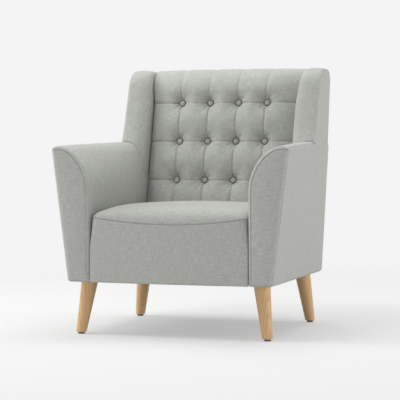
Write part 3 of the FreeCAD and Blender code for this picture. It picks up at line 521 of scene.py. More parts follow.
class Effects:
    """Shader node groups of the shared effects, each built once."""

    @classmethod
    def group(cls, effect: Effect) -> NodeTree:
        """The node group of an effect.

        Args:
            effect: Which effect.

        Returns:
            The group, built on first use.
        """
        found = bpy.data.node_groups.get(effect.value)
        if found:
            return found
        builders = {Effect.WEAVE: cls.weave, Effect.GRAIN: cls.grain, Effect.SPECKLE: cls.speckle}
        tree = bpy.data.node_groups.new(effect.value, "ShaderNodeTree")
        builders[effect](tree)
        return tree

    @staticmethod
    def sockets(tree: NodeTree, inputs: dict[str, str], outputs: dict[str, str]) -> tuple:
        """Makes the group's sockets.

        Args:
            tree: The group.
            inputs: Kind of each input by name.
            outputs: Kind of each output by name.

        Returns:
            The group's board, its input sockets by name and its output node.
        """
        for names, way in ((inputs, "INPUT"), (outputs, "OUTPUT")):
            for name, kind in names.items():
                tree.interface.new_socket(name=name, in_out=way, socket_type=f"NodeSocket{kind}")
        board = NodeBoard(tree)
        given = board.add("NodeGroupInput")
        result = board.add("NodeGroupOutput")
        return board, given.outputs, result

    @staticmethod
    def weave(tree: NodeTree) -> None:
        """Plain weave of slubby yarns, on a map in metres, with painted shade in the hollows between yarns.

        Args:
            tree: The empty group.
        """
        board, given, result = Effects.sockets(
            tree,
            {"Place": "Vector", "Pitch": "Float", "Warp": "Color", "Weft": "Color", "Slub": "Float"},
            {"Color": "Color", "Height": "Float"},
        )
        across_rate, along_rate = 0.45, 0.034
        mottle_scale, mottle_share = 210.0, 0.1
        low_share, painted_relief_shade, painted_hollow_shade = 0.5, 0.3, 0.77
        parts = board.add("ShaderNodeSeparateXYZ", {0: given["Place"]}).outputs
        across = board.math("DIVIDE", parts[0], given["Pitch"])
        along = board.math("DIVIDE", parts[1], given["Pitch"])
        warp_round = board.math("ABSOLUTE", board.math("SINE", board.math("MULTIPLY", across, pi)))
        weft_round = board.math("ABSOLUTE", board.math("SINE", board.math("MULTIPLY", along, pi)))
        steps = board.math("ADD", board.math("FLOOR", across), board.math("FLOOR", along))
        over = board.math("FLOORED_MODULO", steps, 2.0)
        warp_lift = board.math("MULTIPLY_ADD", over, 1 - low_share, low_share)
        weft_lift = board.math("MULTIPLY_ADD", over, low_share - 1, 1.0)
        warp_height = board.math("MULTIPLY", warp_round, warp_lift)
        weft_height = board.math("MULTIPLY", weft_round, weft_lift)
        height = board.math("MAXIMUM", warp_height, weft_height)
        warp_on_top = board.math("GREATER_THAN", warp_height, weft_height)
        yarn = board.blend(warp_on_top, given["Weft"], given["Warp"])
        tones = []
        for first, second in ((across, along), (along, across)):
            quick = board.math("MULTIPLY", first, across_rate)
            slow = board.math("MULTIPLY", second, along_rate)
            tones.append(board.noise(board.vector(quick, slow), 1.0))
        streaks = board.math("SUBTRACT", board.math("ADD", *tones), 1.0)
        mottle = board.math("SUBTRACT", board.noise(given["Place"], mottle_scale), 0.5)
        change = board.math("ADD", streaks, board.math("MULTIPLY", mottle, mottle_share))
        tone = board.math("MULTIPLY_ADD", change, given["Slub"], 1.0)
        # Painted shade: the colour is darker in the hollows between yarns and lighter on their crowns,
        # following the weave's height.
        shade = board.math("MULTIPLY", tone, board.math("MULTIPLY_ADD", height, painted_relief_shade, painted_hollow_shade))
        color = board.blend(1.0, yarn, board.vector(shade, shade, shade), "MULTIPLY")
        board.feed(result.inputs["Color"], color)
        board.feed(result.inputs["Height"], height)

    @staticmethod
    def grain(tree: NodeTree) -> None:
        """Growth rings, fibres and flecks of timber that runs along Z.

        Args:
            tree: The empty group.
        """
        board, given, result = Effects.sockets(
            tree,
            {"Place": "Vector", "Ring": "Float", "Light": "Color", "Dark": "Color"},
            {"Color": "Color", "Height": "Float", "Roughness": "Float"},
        )
        pith_x, pith_y, late_power = 0.09, 0.05, 3.0
        wander_stretch, wander_scale, wander_reach = 0.16, 18.0, 0.016
        fibre_stretch, fibre_scale, fibre_detail = 0.03, 900.0, 3.0
        fleck_stretch, fleck_scale, fleck_range = 0.2, 1300.0, (0.62, 0.74)
        late_share, fibre_share, fleck_share = 0.5, 0.45, 0.3
        least_rough, more_rough = 0.42, 0.2
        x, y, z = board.add("ShaderNodeSeparateXYZ", {0: given["Place"]}).outputs
        drawn = [
            board.vector(x, y, board.math("MULTIPLY", z, stretch))
            for stretch in (wander_stretch, fibre_stretch, fleck_stretch)
        ]
        wander = board.math("MULTIPLY", board.noise(drawn[0], wander_scale), wander_reach)
        off_x = board.math("ADD", board.math("ADD", x, pith_x), wander)
        off_y = board.math("ADD", y, pith_y)
        squares = [board.math("POWER", off, 2.0) for off in (off_x, off_y)]
        radius = board.math("SQRT", board.math("ADD", *squares))
        phase = board.math("FRACT", board.math("DIVIDE", radius, given["Ring"]))
        late = board.math("POWER", phase, late_power)
        fibre = board.noise(drawn[1], fibre_scale, fibre_detail)
        fleck = board.ramp(board.noise(drawn[2], fleck_scale, 1.0), *fleck_range)
        dark = board.math("MULTIPLY", late, late_share)
        dark = board.math("ADD", dark, board.math("MULTIPLY", fibre, fibre_share))
        dark = board.math("ADD", dark, board.math("MULTIPLY", fleck, fleck_share))
        color = board.blend(dark, given["Light"], given["Dark"])
        board.feed(result.inputs["Color"], color)
        board.feed(result.inputs["Height"], board.math("SUBTRACT", fibre, fleck))
        board.feed(result.inputs["Roughness"], board.math("MULTIPLY_ADD", dark, more_rough, least_rough))

    @staticmethod
    def speckle(tree: NodeTree) -> None:
        """Fine uneven colour and height, as in foam, felt, moulded plastic and rolled steel.

        Args:
            tree: The empty group.
        """
        board, given, result = Effects.sockets(
            tree,
            {"Place": "Vector", "Scale": "Float", "Light": "Color", "Dark": "Color"},
            {"Color": "Color", "Height": "Float"},
        )
        noise_share, cell_share, detail = 0.6, 0.5, 4.0
        texture = {"Vector": given["Place"], "Scale": given["Scale"]}
        noise = board.add("ShaderNodeTexNoise", {**texture, "Detail": detail})
        cells = board.add("ShaderNodeTexVoronoi", texture)
        uneven = board.math("MULTIPLY", noise.outputs[0], noise_share)
        mixed = board.math("MULTIPLY_ADD", cells.outputs["Distance"], cell_share, uneven)
        board.feed(result.inputs["Color"], board.blend(mixed, given["Light"], given["Dark"]))
        board.feed(result.inputs["Height"], mixed)


def shade(red: float, green: float, blue: float) -> Color:
    """A colour from linear shares of red, green and blue."""
    return (red, green, blue, 1.0)


@dataclass(frozen=True)
class Finish:
    """A material that starts from one shared effect."""

    effect: ClassVar[Effect]
    name: str
    slot: str
    roughness: float = 0.8
    bump: float = 0.3
    bump_depth: float = 0.0005

    def place(self, board: NodeBoard) -> NodeSocket:
        """Socket with the place on the piece that the effect starts from."""
        return board.add("ShaderNodeTexCoord").outputs["Object"]

    def inputs(self) -> dict[str, object]:
        """Values for the effect's inputs by name; each kind of finish has its own."""
        raise NotImplementedError

    def surface(self) -> dict[str, float]:
        """Values for the shader's inputs by name."""
        return {"Roughness": self.roughness}

    def material(self) -> Material:
        """The material, made on first use."""
        return bpy.data.materials.get(self.name) or self.make()

    def make(self) -> Material:
        """Builds the material.

        Returns:
            The material.
        """
        material = bpy.data.materials.new(self.name)
        material.use_nodes = True
        board = NodeBoard(material.node_tree)
        shader = material.node_tree.nodes["Principled BSDF"]
        group = board.add("ShaderNodeGroup", node_tree=Effects.group(self.effect))
        for name, value in {"Place": self.place(board), **self.inputs()}.items():
            board.feed(group.inputs[name], value)
        for name, value in self.surface().items():
            board.feed(shader.inputs[name], value)
        for source, target in (("Color", "Base Color"), ("Roughness", "Roughness")):
            if source in group.outputs:
                board.feed(shader.inputs[target], group.outputs[source])
        relief = {"Height": group.outputs["Height"], "Strength": self.bump, "Distance": self.bump_depth}
        board.feed(shader.inputs["Normal"], board.add("ShaderNodeBump", relief).outputs[0])
        return material


@dataclass(frozen=True)
class WovenFinish(Finish):
    """Woven cloth, on the cloth map or on the piece itself."""

    effect: ClassVar[Effect] = Effect.WEAVE
    warp: Color = shade(0.44, 0.45, 0.418)
    weft: Color = shade(0.505, 0.515, 0.482)
    pitch: float = 0.0009
    slub: float = 0.56
    sheen: float = 0.15
    sheen_roughness: float = 0.4
    gloss: float = 0.2
    on_map: bool = True

    def place(self, board: NodeBoard) -> NodeSocket:
        """Socket with the place on the cloth map, or on the piece.

        Args:
            board: The material's board.

        Returns:
            The socket.
        """
        if self.on_map:
            return board.add("ShaderNodeUVMap", uv_map=CLOTH_MAP).outputs[0]
        return super().place(board)

    def inputs(self) -> dict[str, object]:
        """Values for the weave's inputs by name."""
        return {"Pitch": self.pitch, "Warp": self.warp, "Weft": self.weft, "Slub": self.slub}

    def surface(self) -> dict[str, float]:
        """Values for the shader's inputs by name."""
        sheen = {"Sheen Weight": self.sheen, "Sheen Roughness": self.sheen_roughness}
        return {**super().surface(), **sheen, "Specular IOR Level": self.gloss}


@dataclass(frozen=True)
class TimberFinish(Finish):
    """Timber whose grain runs along Z."""

    effect: ClassVar[Effect] = Effect.GRAIN
    light: Color = shade(0.78, 0.51, 0.257)
    dark: Color = shade(0.49, 0.275, 0.114)
    ring: float = 0.006

    def inputs(self) -> dict[str, object]:
        """Values for the grain's inputs by name."""
        return {"Ring": self.ring, "Light": self.light, "Dark": self.dark}


@dataclass(frozen=True)
class SpeckledFinish(Finish):
    """Foam, felt, board, plastic or steel with a fine uneven surface."""

    effect: ClassVar[Effect] = Effect.SPECKLE
    light: Color = shade(0.5, 0.5, 0.5)
    dark: Color = shade(0.3, 0.3, 0.3)
    scale: float = 400.0
    metallic: float = 0.0

    def inputs(self) -> dict[str, object]:
        """Values for the speckle's inputs by name."""
        return {"Scale": self.scale, "Light": self.light, "Dark": self.dark}

    def surface(self) -> dict[str, float]:
        """Values for the shader's inputs by name."""
        return {**super().surface(), "Metallic": self.metallic}


LINEN = WovenFinish("grey_linen", "cover_fabric", roughness=0.9, bump=0.4, bump_depth=0.0004)
BEECH = TimberFinish("turned_beech", "leg_beech", bump=0.12, bump_depth=0.0003)
PINE = TimberFinish(
    "frame_pine", "frame_timber", light=shade(0.62, 0.45, 0.25), dark=shade(0.40, 0.23, 0.10), ring=0.009
)
FOAM = SpeckledFinish(
    "pad_foam", "foam", roughness=0.95,
    light=shade(0.78, 0.74, 0.56), dark=shade(0.56, 0.52, 0.38), scale=700.0,
)
STEEL = SpeckledFinish(
    "zinc_steel", "steel", roughness=0.38, bump=0.1, metallic=1.0,
    light=shade(0.62, 0.62, 0.60), dark=shade(0.46, 0.46, 0.45), scale=250.0,
)
PLASTIC = SpeckledFinish(
    "moulded_glides", "glide_plastic", roughness=0.55, bump=0.15,
    light=shade(0.19, 0.19, 0.185), dark=shade(0.14, 0.14, 0.135), scale=600.0,
)
FELT = SpeckledFinish(
    "deck_felt", "felt", roughness=1.0,
    light=shade(0.30, 0.28, 0.25), dark=shade(0.16, 0.15, 0.14), scale=320.0,
)
BOARD = SpeckledFinish(
    "fibre_board", "lining_board", roughness=0.9, light=shade(0.46, 0.36, 0.23), dark=shade(0.34, 0.26, 0.16),
    scale=180.0,
)
WEBBING = WovenFinish(
    "strap_webbing", "webbing", roughness=0.85, warp=shade(0.05, 0.045, 0.04), weft=shade(0.09, 0.08, 0.07),
    pitch=0.002, on_map=False,
)
CAMBRIC = WovenFinish(
    "dust_cambric", "dust_cloth", roughness=0.95,
    warp=shade(0.012, 0.012, 0.012), weft=shade(0.02, 0.02, 0.02), pitch=0.0012, sheen=0.05,
)


def dress_piece(piece: Object, nodes: list[str], finish: Finish) -> None:
    """Dresses a finished piece, seats it on its body and lets it stand for its solids.

    Args:
        piece: The piece.
        nodes: Names of the solids it stands for.
        finish: Its material.
    """
    Workbench.lay_cloth(piece)
    piece.data.materials.clear()
    piece.data.materials.append(finish.material())
    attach(piece, BODY)
    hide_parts(*nodes)
    LOG.info("%s: %d faces", piece.name, len(piece.data.polygons))


def dress_pad(piece: Object, nodes: list[str], finish: Finish, fill: float) -> None:
    """Dresses a finished pad."""
    dress_piece(piece, nodes, finish)


@dataclass(frozen=True)
class ArmForm:
    """Shape of an arm's cross-section along the chair; sizes in metres."""

    flare: float = 0.0525
    rear_flare: float = 0.0075
    front_lean: float = 0.008
    rise: float = 0.017
    rise_power: float = 0.8
    knee_softness: float = 0.03
    shoulder: float = 0.143
    edge: float = 0.018
    edge_drop: float = 0.014
    roll: float = 0.78
    base_round: float = 0.012
    inner_round: float = 0.006

    def station(self, y: Values) -> tuple[Values, Values]:
        """Outer edge and crest height of the arm at a Y of its top.

        Args:
            y: Places along the chair.

        Returns:
            X of the outer edge and Z of the crest.
        """
        left = 1 - (y - PLAN.front) / PLAN.wing_setback
        share = np.clip(1 - (left + np.sqrt(left**2 + self.knee_softness**2)) / 2, 0, 1)
        outer = PLAN.base_half + self.flare + (self.rear_flare - self.flare) * share
        return outer, PLAN.arm_height + self.rise * share**self.rise_power

    def rolls(self, outer: Values, crest: Values) -> tuple[Values, Values, Values, Values]:
        """The two tangent arcs from the inner face to the crest.

        Args:
            outer: X of the outer edge.
            crest: Z of the crest.

        Returns:
            X of the crest, the small and large radius and the angle where the arcs meet.
        """
        crest_x = outer - self.edge
        width = crest_x - PLAN.seat_half
        small = self.roll * width
        large = (width**2 + (self.shoulder - small) ** 2 - small**2) / (2 * (width - small))
        meet = np.arctan2(self.shoulder - small, width - large)
        return crest_x, small, large, meet

    def front_y(self, z: Values) -> Values:
        """Y of the arm's front, which leans forward, at a height z."""
        return PLAN.front - self.front_lean * (z - PLAN.base_height) / (PLAN.arm_height - PLAN.base_height)

    def side_x(self, z: Values, outer: Values, crest: Values) -> Values:
        """X of the sloping outer face at a height z."""
        height = crest - self.edge_drop - PLAN.base_height
        return PLAN.base_half + (outer - PLAN.base_half) * (z - PLAN.base_height) / height

    def top_z(self, x: Array, y: Array) -> Array:
        """Height of the arm's upper side.

        Args:
            x: Distances from the chair's middle plane.
            y: Places along the chair.

        Returns:
            The height at each place.
        """
        outer, crest = self.station(y)
        crest_x, small, large, meet = self.rolls(outer, crest)
        shoulder_z = crest - self.shoulder
        low_x = PLAN.seat_half + large
        low = shoulder_z + np.sqrt(np.maximum(large**2 - (x - low_x) ** 2, 0))
        top = crest - small + np.sqrt(np.maximum(small**2 - (x - crest_x) ** 2, 0))
        edge_x = self.side_x(crest - self.edge_drop, outer, crest)
        over = np.clip((x - crest_x) / (edge_x - crest_x), 0, 1)
        edge = crest - self.edge_drop * (1 - np.sqrt(1 - over**2))
        joint_x = crest_x + small * np.cos(meet)
        return np.where(x < joint_x, low, np.where(x < crest_x, top, edge))


ARM = ArmForm()


@dataclass
class ArmPad:
    """One upholstered arm: a cover rolled over the top and a facing sewn into its front."""

    side: Side
    roll_round: float = 0.010
    outer_round: float = 0.015
    bottom_round: float = 0.008
    seam_inset: float = 0.010
    corner_inset: float = 0.003
    seam_depth: float = 0.0016
    pocket: float = 0.010
    facing_crown: float = 0.004
    lip_depth: float = 0.0018
    lip_reach: float = 0.0016
    lip_foot: float = 0.002
    lip: tuple[tuple[float, float], ...] = (
        (0.0012, 0.005), (0.0006, 0.0022), (-0.0003, 0.0008), (-0.0014, 0.0001),
    )
    turn_shares: tuple[float, ...] = (0.8, 0.62, 0.46, 0.32, 0.2, 0.1, 0.03)
    seam_place: float = 0.7
    seam_pull: float = 0.6
    seam_spread: float = 0.35
    heel_points: int = 3
    fill: float = 0.9
    facing_cells: Cells = (20, 2, 70)
    step: float = 0.014
    counts: dict[str, int] = field(
        default_factory=lambda: {
            "inner": 40, "low": 34, "top": 32, "edge": 20, "outer": 48, "corner": 8, "bottom": 14, "heel": 6,
        }
    )
    filling_margin: float = 0.0045
    filling_start: float = 0.0125
    filling_step: float = 0.040
    cover: Object | None = None
    facing: Object | None = None
    filling: Object | None = None

    def outline(self, outer: float, crest: float) -> Array:
        """Closed cross-section, from the foot of the inner face over the roll to the bottom.

        Args:
            outer: X of the outer edge.
            crest: Z of the crest.

        Returns:
            One row of X and Z per point.
        """
        crest_x, small, large, meet = ARM.rolls(outer, crest)
        shoulder_z = crest - ARM.shoulder
        edge_z = crest - ARM.edge_drop
        edge_x = ARM.side_x(edge_z, outer, crest)
        low_z = PLAN.base_height
        corner_z = low_z + ARM.base_round
        corner_x = ARM.side_x(corner_z, outer, crest)
        heel = ARM.inner_round
        inner = PLAN.seat_half

        def run(name: str, start: tuple[float, float], end: tuple[float, float]) -> Array:
            """Straight run between two points, without its end."""
            return np.linspace(start, end, self.counts[name], endpoint=False)

        def bend(
            name: str, center: tuple[float, float], radii: tuple[float, float], begin: float, end: float
        ) -> Array:
            """Arc of an ellipse between two angles, without its end."""
            angles = np.linspace(begin, end, self.counts[name], endpoint=False)
            return np.array(center) + np.array(radii) * np.column_stack((np.cos(angles), np.sin(angles)))

        return np.vstack(
            (
                run("inner", (inner, low_z + heel), (inner, shoulder_z)),
                bend("low", (inner + large, shoulder_z), (large, large), pi, meet),
                bend("top", (crest_x, crest - small), (small, small), meet, pi / 2),
                bend("edge", (crest_x, edge_z), (edge_x - crest_x, ARM.edge_drop), pi / 2, 0),
                run("outer", (edge_x, edge_z), (corner_x, corner_z)),
                bend("corner", (corner_x - ARM.base_round, corner_z), (ARM.base_round,) * 2, 0, -pi / 2),
                run("bottom", (corner_x - ARM.base_round, low_z), (inner + heel, low_z)),
                bend("heel", (inner + heel, low_z + heel), (heel, heel), -pi / 2, -pi),
            )
        )

    def first(self, name: str) -> int:
        """Number of the first point of a stretch of the outline."""
        names = list(self.counts)
        return sum(self.counts[earlier] for earlier in names[: names.index(name)])

    @staticmethod
    def inward(outline: Array) -> Array:
        """Unit normals of a closed outline that point into it.

        Args:
            outline: One row of X and Z per point.

        Returns:
            One normal per point.
        """
        along = np.roll(outline, -1, axis=0) - np.roll(outline, 1, axis=0)
        along /= np.linalg.norm(along, axis=1)[:, None]
        return np.column_stack((along[:, 1], -along[:, 0]))

    def seam_line(self) -> Array:
        """Distance of the facing's seam from the outline: wide at the roll, close to the outer corner.

        Returns:
            One distance per point of the outline.
        """
        total = sum(self.counts.values())
        turn = self.first("edge")
        stops = [0, self.heel_points, turn, turn + self.counts["edge"], total]
        wide, close = self.seam_inset, self.corner_inset
        return np.interp(np.arange(total), stops, [close, wide, wide, close, close])

    def rounds(self) -> Array:
        """Radius of the front edge along the outline: soft at the outer side, closer elsewhere.

        Returns:
            One radius per point of the outline.
        """
        stops = [0] + [self.first(name) for name in ("edge", "outer", "corner", "bottom", "heel")]
        radii = [self.roll_round] * 2 + [self.outer_round] * 2 + [self.bottom_round] * 2
        return np.interp(np.arange(sum(self.counts.values())), stops, radii)

    def ring(self, depth: Values, inset: Values) -> Array:
        """One ring of the arm.

        Args:
            depth: Distance behind the front, at the base.
            inset: Distance inside the outline.

        Returns:
            One row of X, Y and Z per point.
        """
        rear_z = PLAN.arm_height
        slant = (PLAN.rear_y(rear_z, PLAN.rear_cover) - PLAN.front) / (PLAN.rear_base - PLAN.front)
        station_y = PLAN.front + float(np.mean(depth)) * slant
        flat = self.outline(*ARM.station(station_y))
        flat = flat + self.inward(flat) * np.broadcast_to(inset, len(flat))[:, None]
        length = PLAN.rear_y(flat[:, 1], PLAN.rear_cover) - ARM.front_y(flat[:, 1])
        reach = length / (PLAN.rear_base - PLAN.front)
        y = ARM.front_y(flat[:, 1]) + depth * reach
        return np.column_stack((self.side.value * flat[:, 0], y, flat[:, 1]))

    def build_cover(self) -> None:
        """Makes the cover with a pocket for the facing and a seam along its outer edge."""
        seam, rounds = self.seam_line(), self.rounds()
        lip = ((self.lip_foot, self.pocket), *self.lip)
        rings = [self.ring(turned_edge(seam + over, rounds) + deep, seam + over) for over, deep in lip]
        for share in self.turn_shares:
            inset = (seam + lip[-1][0]) * share
            rings.append(self.ring(turned_edge(inset, rounds), inset))
        length = PLAN.rear_base - PLAN.front
        for share in np.linspace(0, 1, round(length / self.step)):
            rings.append(self.ring(rounds + (length - rounds) * share, 0.0))
        places = np.array(rings)
        seam_at = self.first("edge") + round(self.seam_place * self.counts["edge"])
        inner = np.array([self.side.value * -1.0, 0.0, -self.seam_pull])
        fade = np.ones(len(places))
        fade[: len(lip)] = 0
        for step, share in ((-1, self.seam_spread), (0, 1.0), (1, self.seam_spread)):
            places[:, seam_at + step] += inner * (self.seam_depth * share * fade)[:, None]
        self.cover = Workbench.tube(f"arm_pad_{self.side.label}", places)

    def facing_edges(self) -> dict[str, Array]:
        """The four edges of the facing, in the seam.

        Returns:
            Rows of X and Z for the inner and outer edge, from the bottom up, and for the bottom and top
            edge, from the inner side out.
        """
        flat = self.outline(*ARM.station(PLAN.front))
        flat = flat + self.inward(flat) * (self.seam_line() + PLAN.gap)[:, None]
        turn = self.first("edge") + self.counts["edge"] // 2
        corner = self.first("corner") + self.counts["corner"] // 2
        heel = self.first("heel") + self.counts["heel"] // 2
        return {
            "inner": np.vstack((flat[heel:], flat[: self.first("edge") + 1])),
            "outer": flat[turn : corner + 1][::-1],
            "bottom": flat[corner : heel + 1][::-1],
            "top": flat[self.first("edge") : turn + 1],
        }

    def shape_facing(self, raw: Array) -> Array:
        """Turns the unit block into the facing.

        Args:
            raw: Places in the block, from 0 to 1.

        Returns:
            Places on the facing.
        """
        edges = self.facing_edges()
        across, up = eased(raw[:, 0]), eased(raw[:, 2])
        inner, outer = along(edges["inner"], up), along(edges["outer"], up)
        bottom, top = along(edges["bottom"], across), along(edges["top"], across)
        a, c = across[:, None], up[:, None]
        corners = (1 - a) * (1 - c) * edges["bottom"][0] + a * (1 - c) * edges["bottom"][-1]
        corners = corners + (1 - a) * c * edges["top"][0] + a * c * edges["top"][-1]
        flat = (1 - a) * inner + a * outer + (1 - c) * bottom + c * top - corners
        width = np.linalg.norm(outer - inner, axis=1)
        height = edges["inner"][-1][1] - PLAN.base_height
        to_outer, to_bottom = (1 - across) * width, up * height
        edge = np.minimum.reduce((to_outer, to_bottom, across * width, (1 - up) * height))
        lip = self.lip_depth * np.exp(-edge / self.lip_reach)
        crown = self.facing_crown * np.sin(pi * across) * np.sqrt(np.sin(pi * up))
        turned = np.maximum(
            turned_edge(self.corner_inset + to_outer, self.outer_round),
            turned_edge(self.corner_inset + to_bottom, self.bottom_round),
        )
        depth = turned + lip - crown
        depth = depth + raw[:, 1] * (self.pocket - PLAN.gap - depth)
        return np.column_stack((self.side.value * flat[:, 0], ARM.front_y(flat[:, 1]) + depth, flat[:, 1]))

    def build_facing(self) -> None:
        """Makes the facing that fills the pocket."""
        self.facing = Workbench.mould(f"arm_front_{self.side.label}", self.facing_cells, self.shape_facing)

    def build_filling(self) -> None:
        """Makes the foam under the cover."""
        length = PLAN.rear_base - PLAN.front
        count = round(length / self.filling_step)
        depths = np.linspace(self.filling_start, length - self.filling_margin, count)
        rings = [self.ring(depth, self.filling_margin) for depth in depths]
        self.filling = Workbench.tube(f"arm_filling_{self.side.label}", np.array(rings))

    def build(self) -> None:
        """Makes the cover, the facing and the foam."""
        self.build_cover()
        self.build_facing()
        self.build_filling()

    def dress(self, finish: Finish) -> None:
        """Dresses the pieces.

        Args:
            finish: The cover's material.
        """
        dress_pad(self.filling, [f"arm_foam_{self.side.label}"], FOAM, FULL)
        dress_pad(self.cover, [f"arm_cover_{self.side.label}"], finish, self.fill)
        dress_pad(self.facing, [f"arm_facing_{self.side.label}"], finish, self.fill)


@dataclass
class WingPad:
    """One wing, standing on the roll of its arm, and the foam in it."""

    side: Side
    inner: float = 0.266
    outer: float = 0.350
    foot_outer: float = 0.3505
    rear_taper: float = 0.003
    top: float = 0.881
    corner: float = 0.090
    rear_corner: float = 0.035
    inner_draw: float = 0.024
    outer_draw: float = 0.012
    inner_power: float = 2.0
    outer_power: float = 2.6
    foot_flare: float = 0.012
    flare_reach: float = 0.032
    straight: float = 0.62
    flare_power: float = 3.0
    top_share: float = 0.6
    cover: float = 0.003
    fill: float = 0.85
    cells: Cells = (22, 30, 44)
    pad: Object | None = None
    filling: Object | None = None

    def branch(self, share: Array, foot: Array, inset: Array, front: bool) -> tuple[Array, Array]:
        """Points of the front or rear edge in side view, from the foot round its corner to the top.

        Args:
            share: Place along the edge, from 0 at the foot to 1 at the top.
            foot: Height of the foot.
            inset: Distance inside the full outline.
            front: True for the front edge.

        Returns:
            Y and Z of each point.
        """
        top = self.top - inset * self.top_share
        angle = PLAN.wing_slope if front else -PLAN.rear_rake
        radius = self.corner - inset if front else self.rear_corner
        reach = radius * np.tan((pi / 2 - angle) / 2)
        corner_y = PLAN.wing_y(top, inset) if front else PLAN.rear_y(top, PLAN.rear_cover)
        way = 1 if front else -1
        start_z = top - reach * cos(angle)
        low = np.clip(share / self.straight, 0, 1)
        turn = np.clip((share - self.straight) / (1 - self.straight), 0, 1) * (pi / 2 - angle)
        line_z = foot + (start_z - foot) * low
        line_y = corner_y - (top - line_z) * tan(abs(angle))
        arc_y = corner_y + way * (reach - radius * np.cos(angle + turn))
        arc_z = top - radius + radius * np.sin(angle + turn)
        curved = share > self.straight
        return np.where(curved, arc_y, line_y), np.where(curved, arc_z, line_z)

    def shape(self, raw: Array, trim: float = 0.0) -> Array:
        """Turns the unit block into the wing.

        Args:
            raw: Places in the block, from 0 to 1.
            trim: Distance inside the full form.

        Returns:
            Places on the wing.
        """
        across = eased(raw[:, 0])
        to_inner, to_outer = np.minimum(2 * across - 1, 0), np.maximum(2 * across - 1, 0)
        inset = self.inner_draw * arch(to_inner, self.inner_power)
        inset = inset + self.outer_draw * arch(to_outer, self.outer_power) + trim
        foot_x = self.inner + trim + across * (self.foot_outer - self.inner - 2 * trim)
        edge_y = PLAN.wing_y(PLAN.arm_height)
        foot_y = edge_y + raw[:, 1] * (PLAN.rear_base - edge_y)
        foot = ARM.top_z(foot_x, foot_y) + PLAN.gap + trim
        front_y, front_z = self.branch(raw[:, 2], foot, inset, True)
        rear_y, rear_z = self.branch(raw[:, 2], foot, inset, False)
        y = front_y + (rear_y - front_y) * raw[:, 1]
        z = front_z + (rear_z - front_z) * raw[:, 1]
        soft = np.exp(-np.maximum(z - foot, 0) / self.flare_reach) * (1 - arch(to_inner, self.flare_power))
        y -= (1 - raw[:, 1]) * self.foot_flare * soft
        rise = np.clip((z - PLAN.arm_height) / (self.top - PLAN.arm_height), 0, 1)
        outside = self.foot_outer + (self.outer - self.foot_outer) * rise - self.rear_taper * raw[:, 1]
        inside = self.inner + PLAN.lean(z) + trim
        x = inside + across * (outside - trim - inside)
        return np.column_stack((self.side.value * x, y, z))

    def build(self) -> None:
        """Makes the wing and its filling."""
        self.pad = Workbench.mould(f"wing_pad_{self.side.label}", self.cells, self.shape)
        self.filling = Workbench.mould(
            f"wing_filling_{self.side.label}",
            self.cells,
            lambda raw: self.shape(raw, self.cover),
            rounded=False,
        )

    def dress(self, finish: Finish) -> None:
        """Dresses the wing and its filling."""
        dress_pad(self.pad, [f"wing_cover_{self.side.label}"], finish, self.fill)
        dress_pad(self.filling, [f"wing_foam_{self.side.label}"], FOAM, FULL)


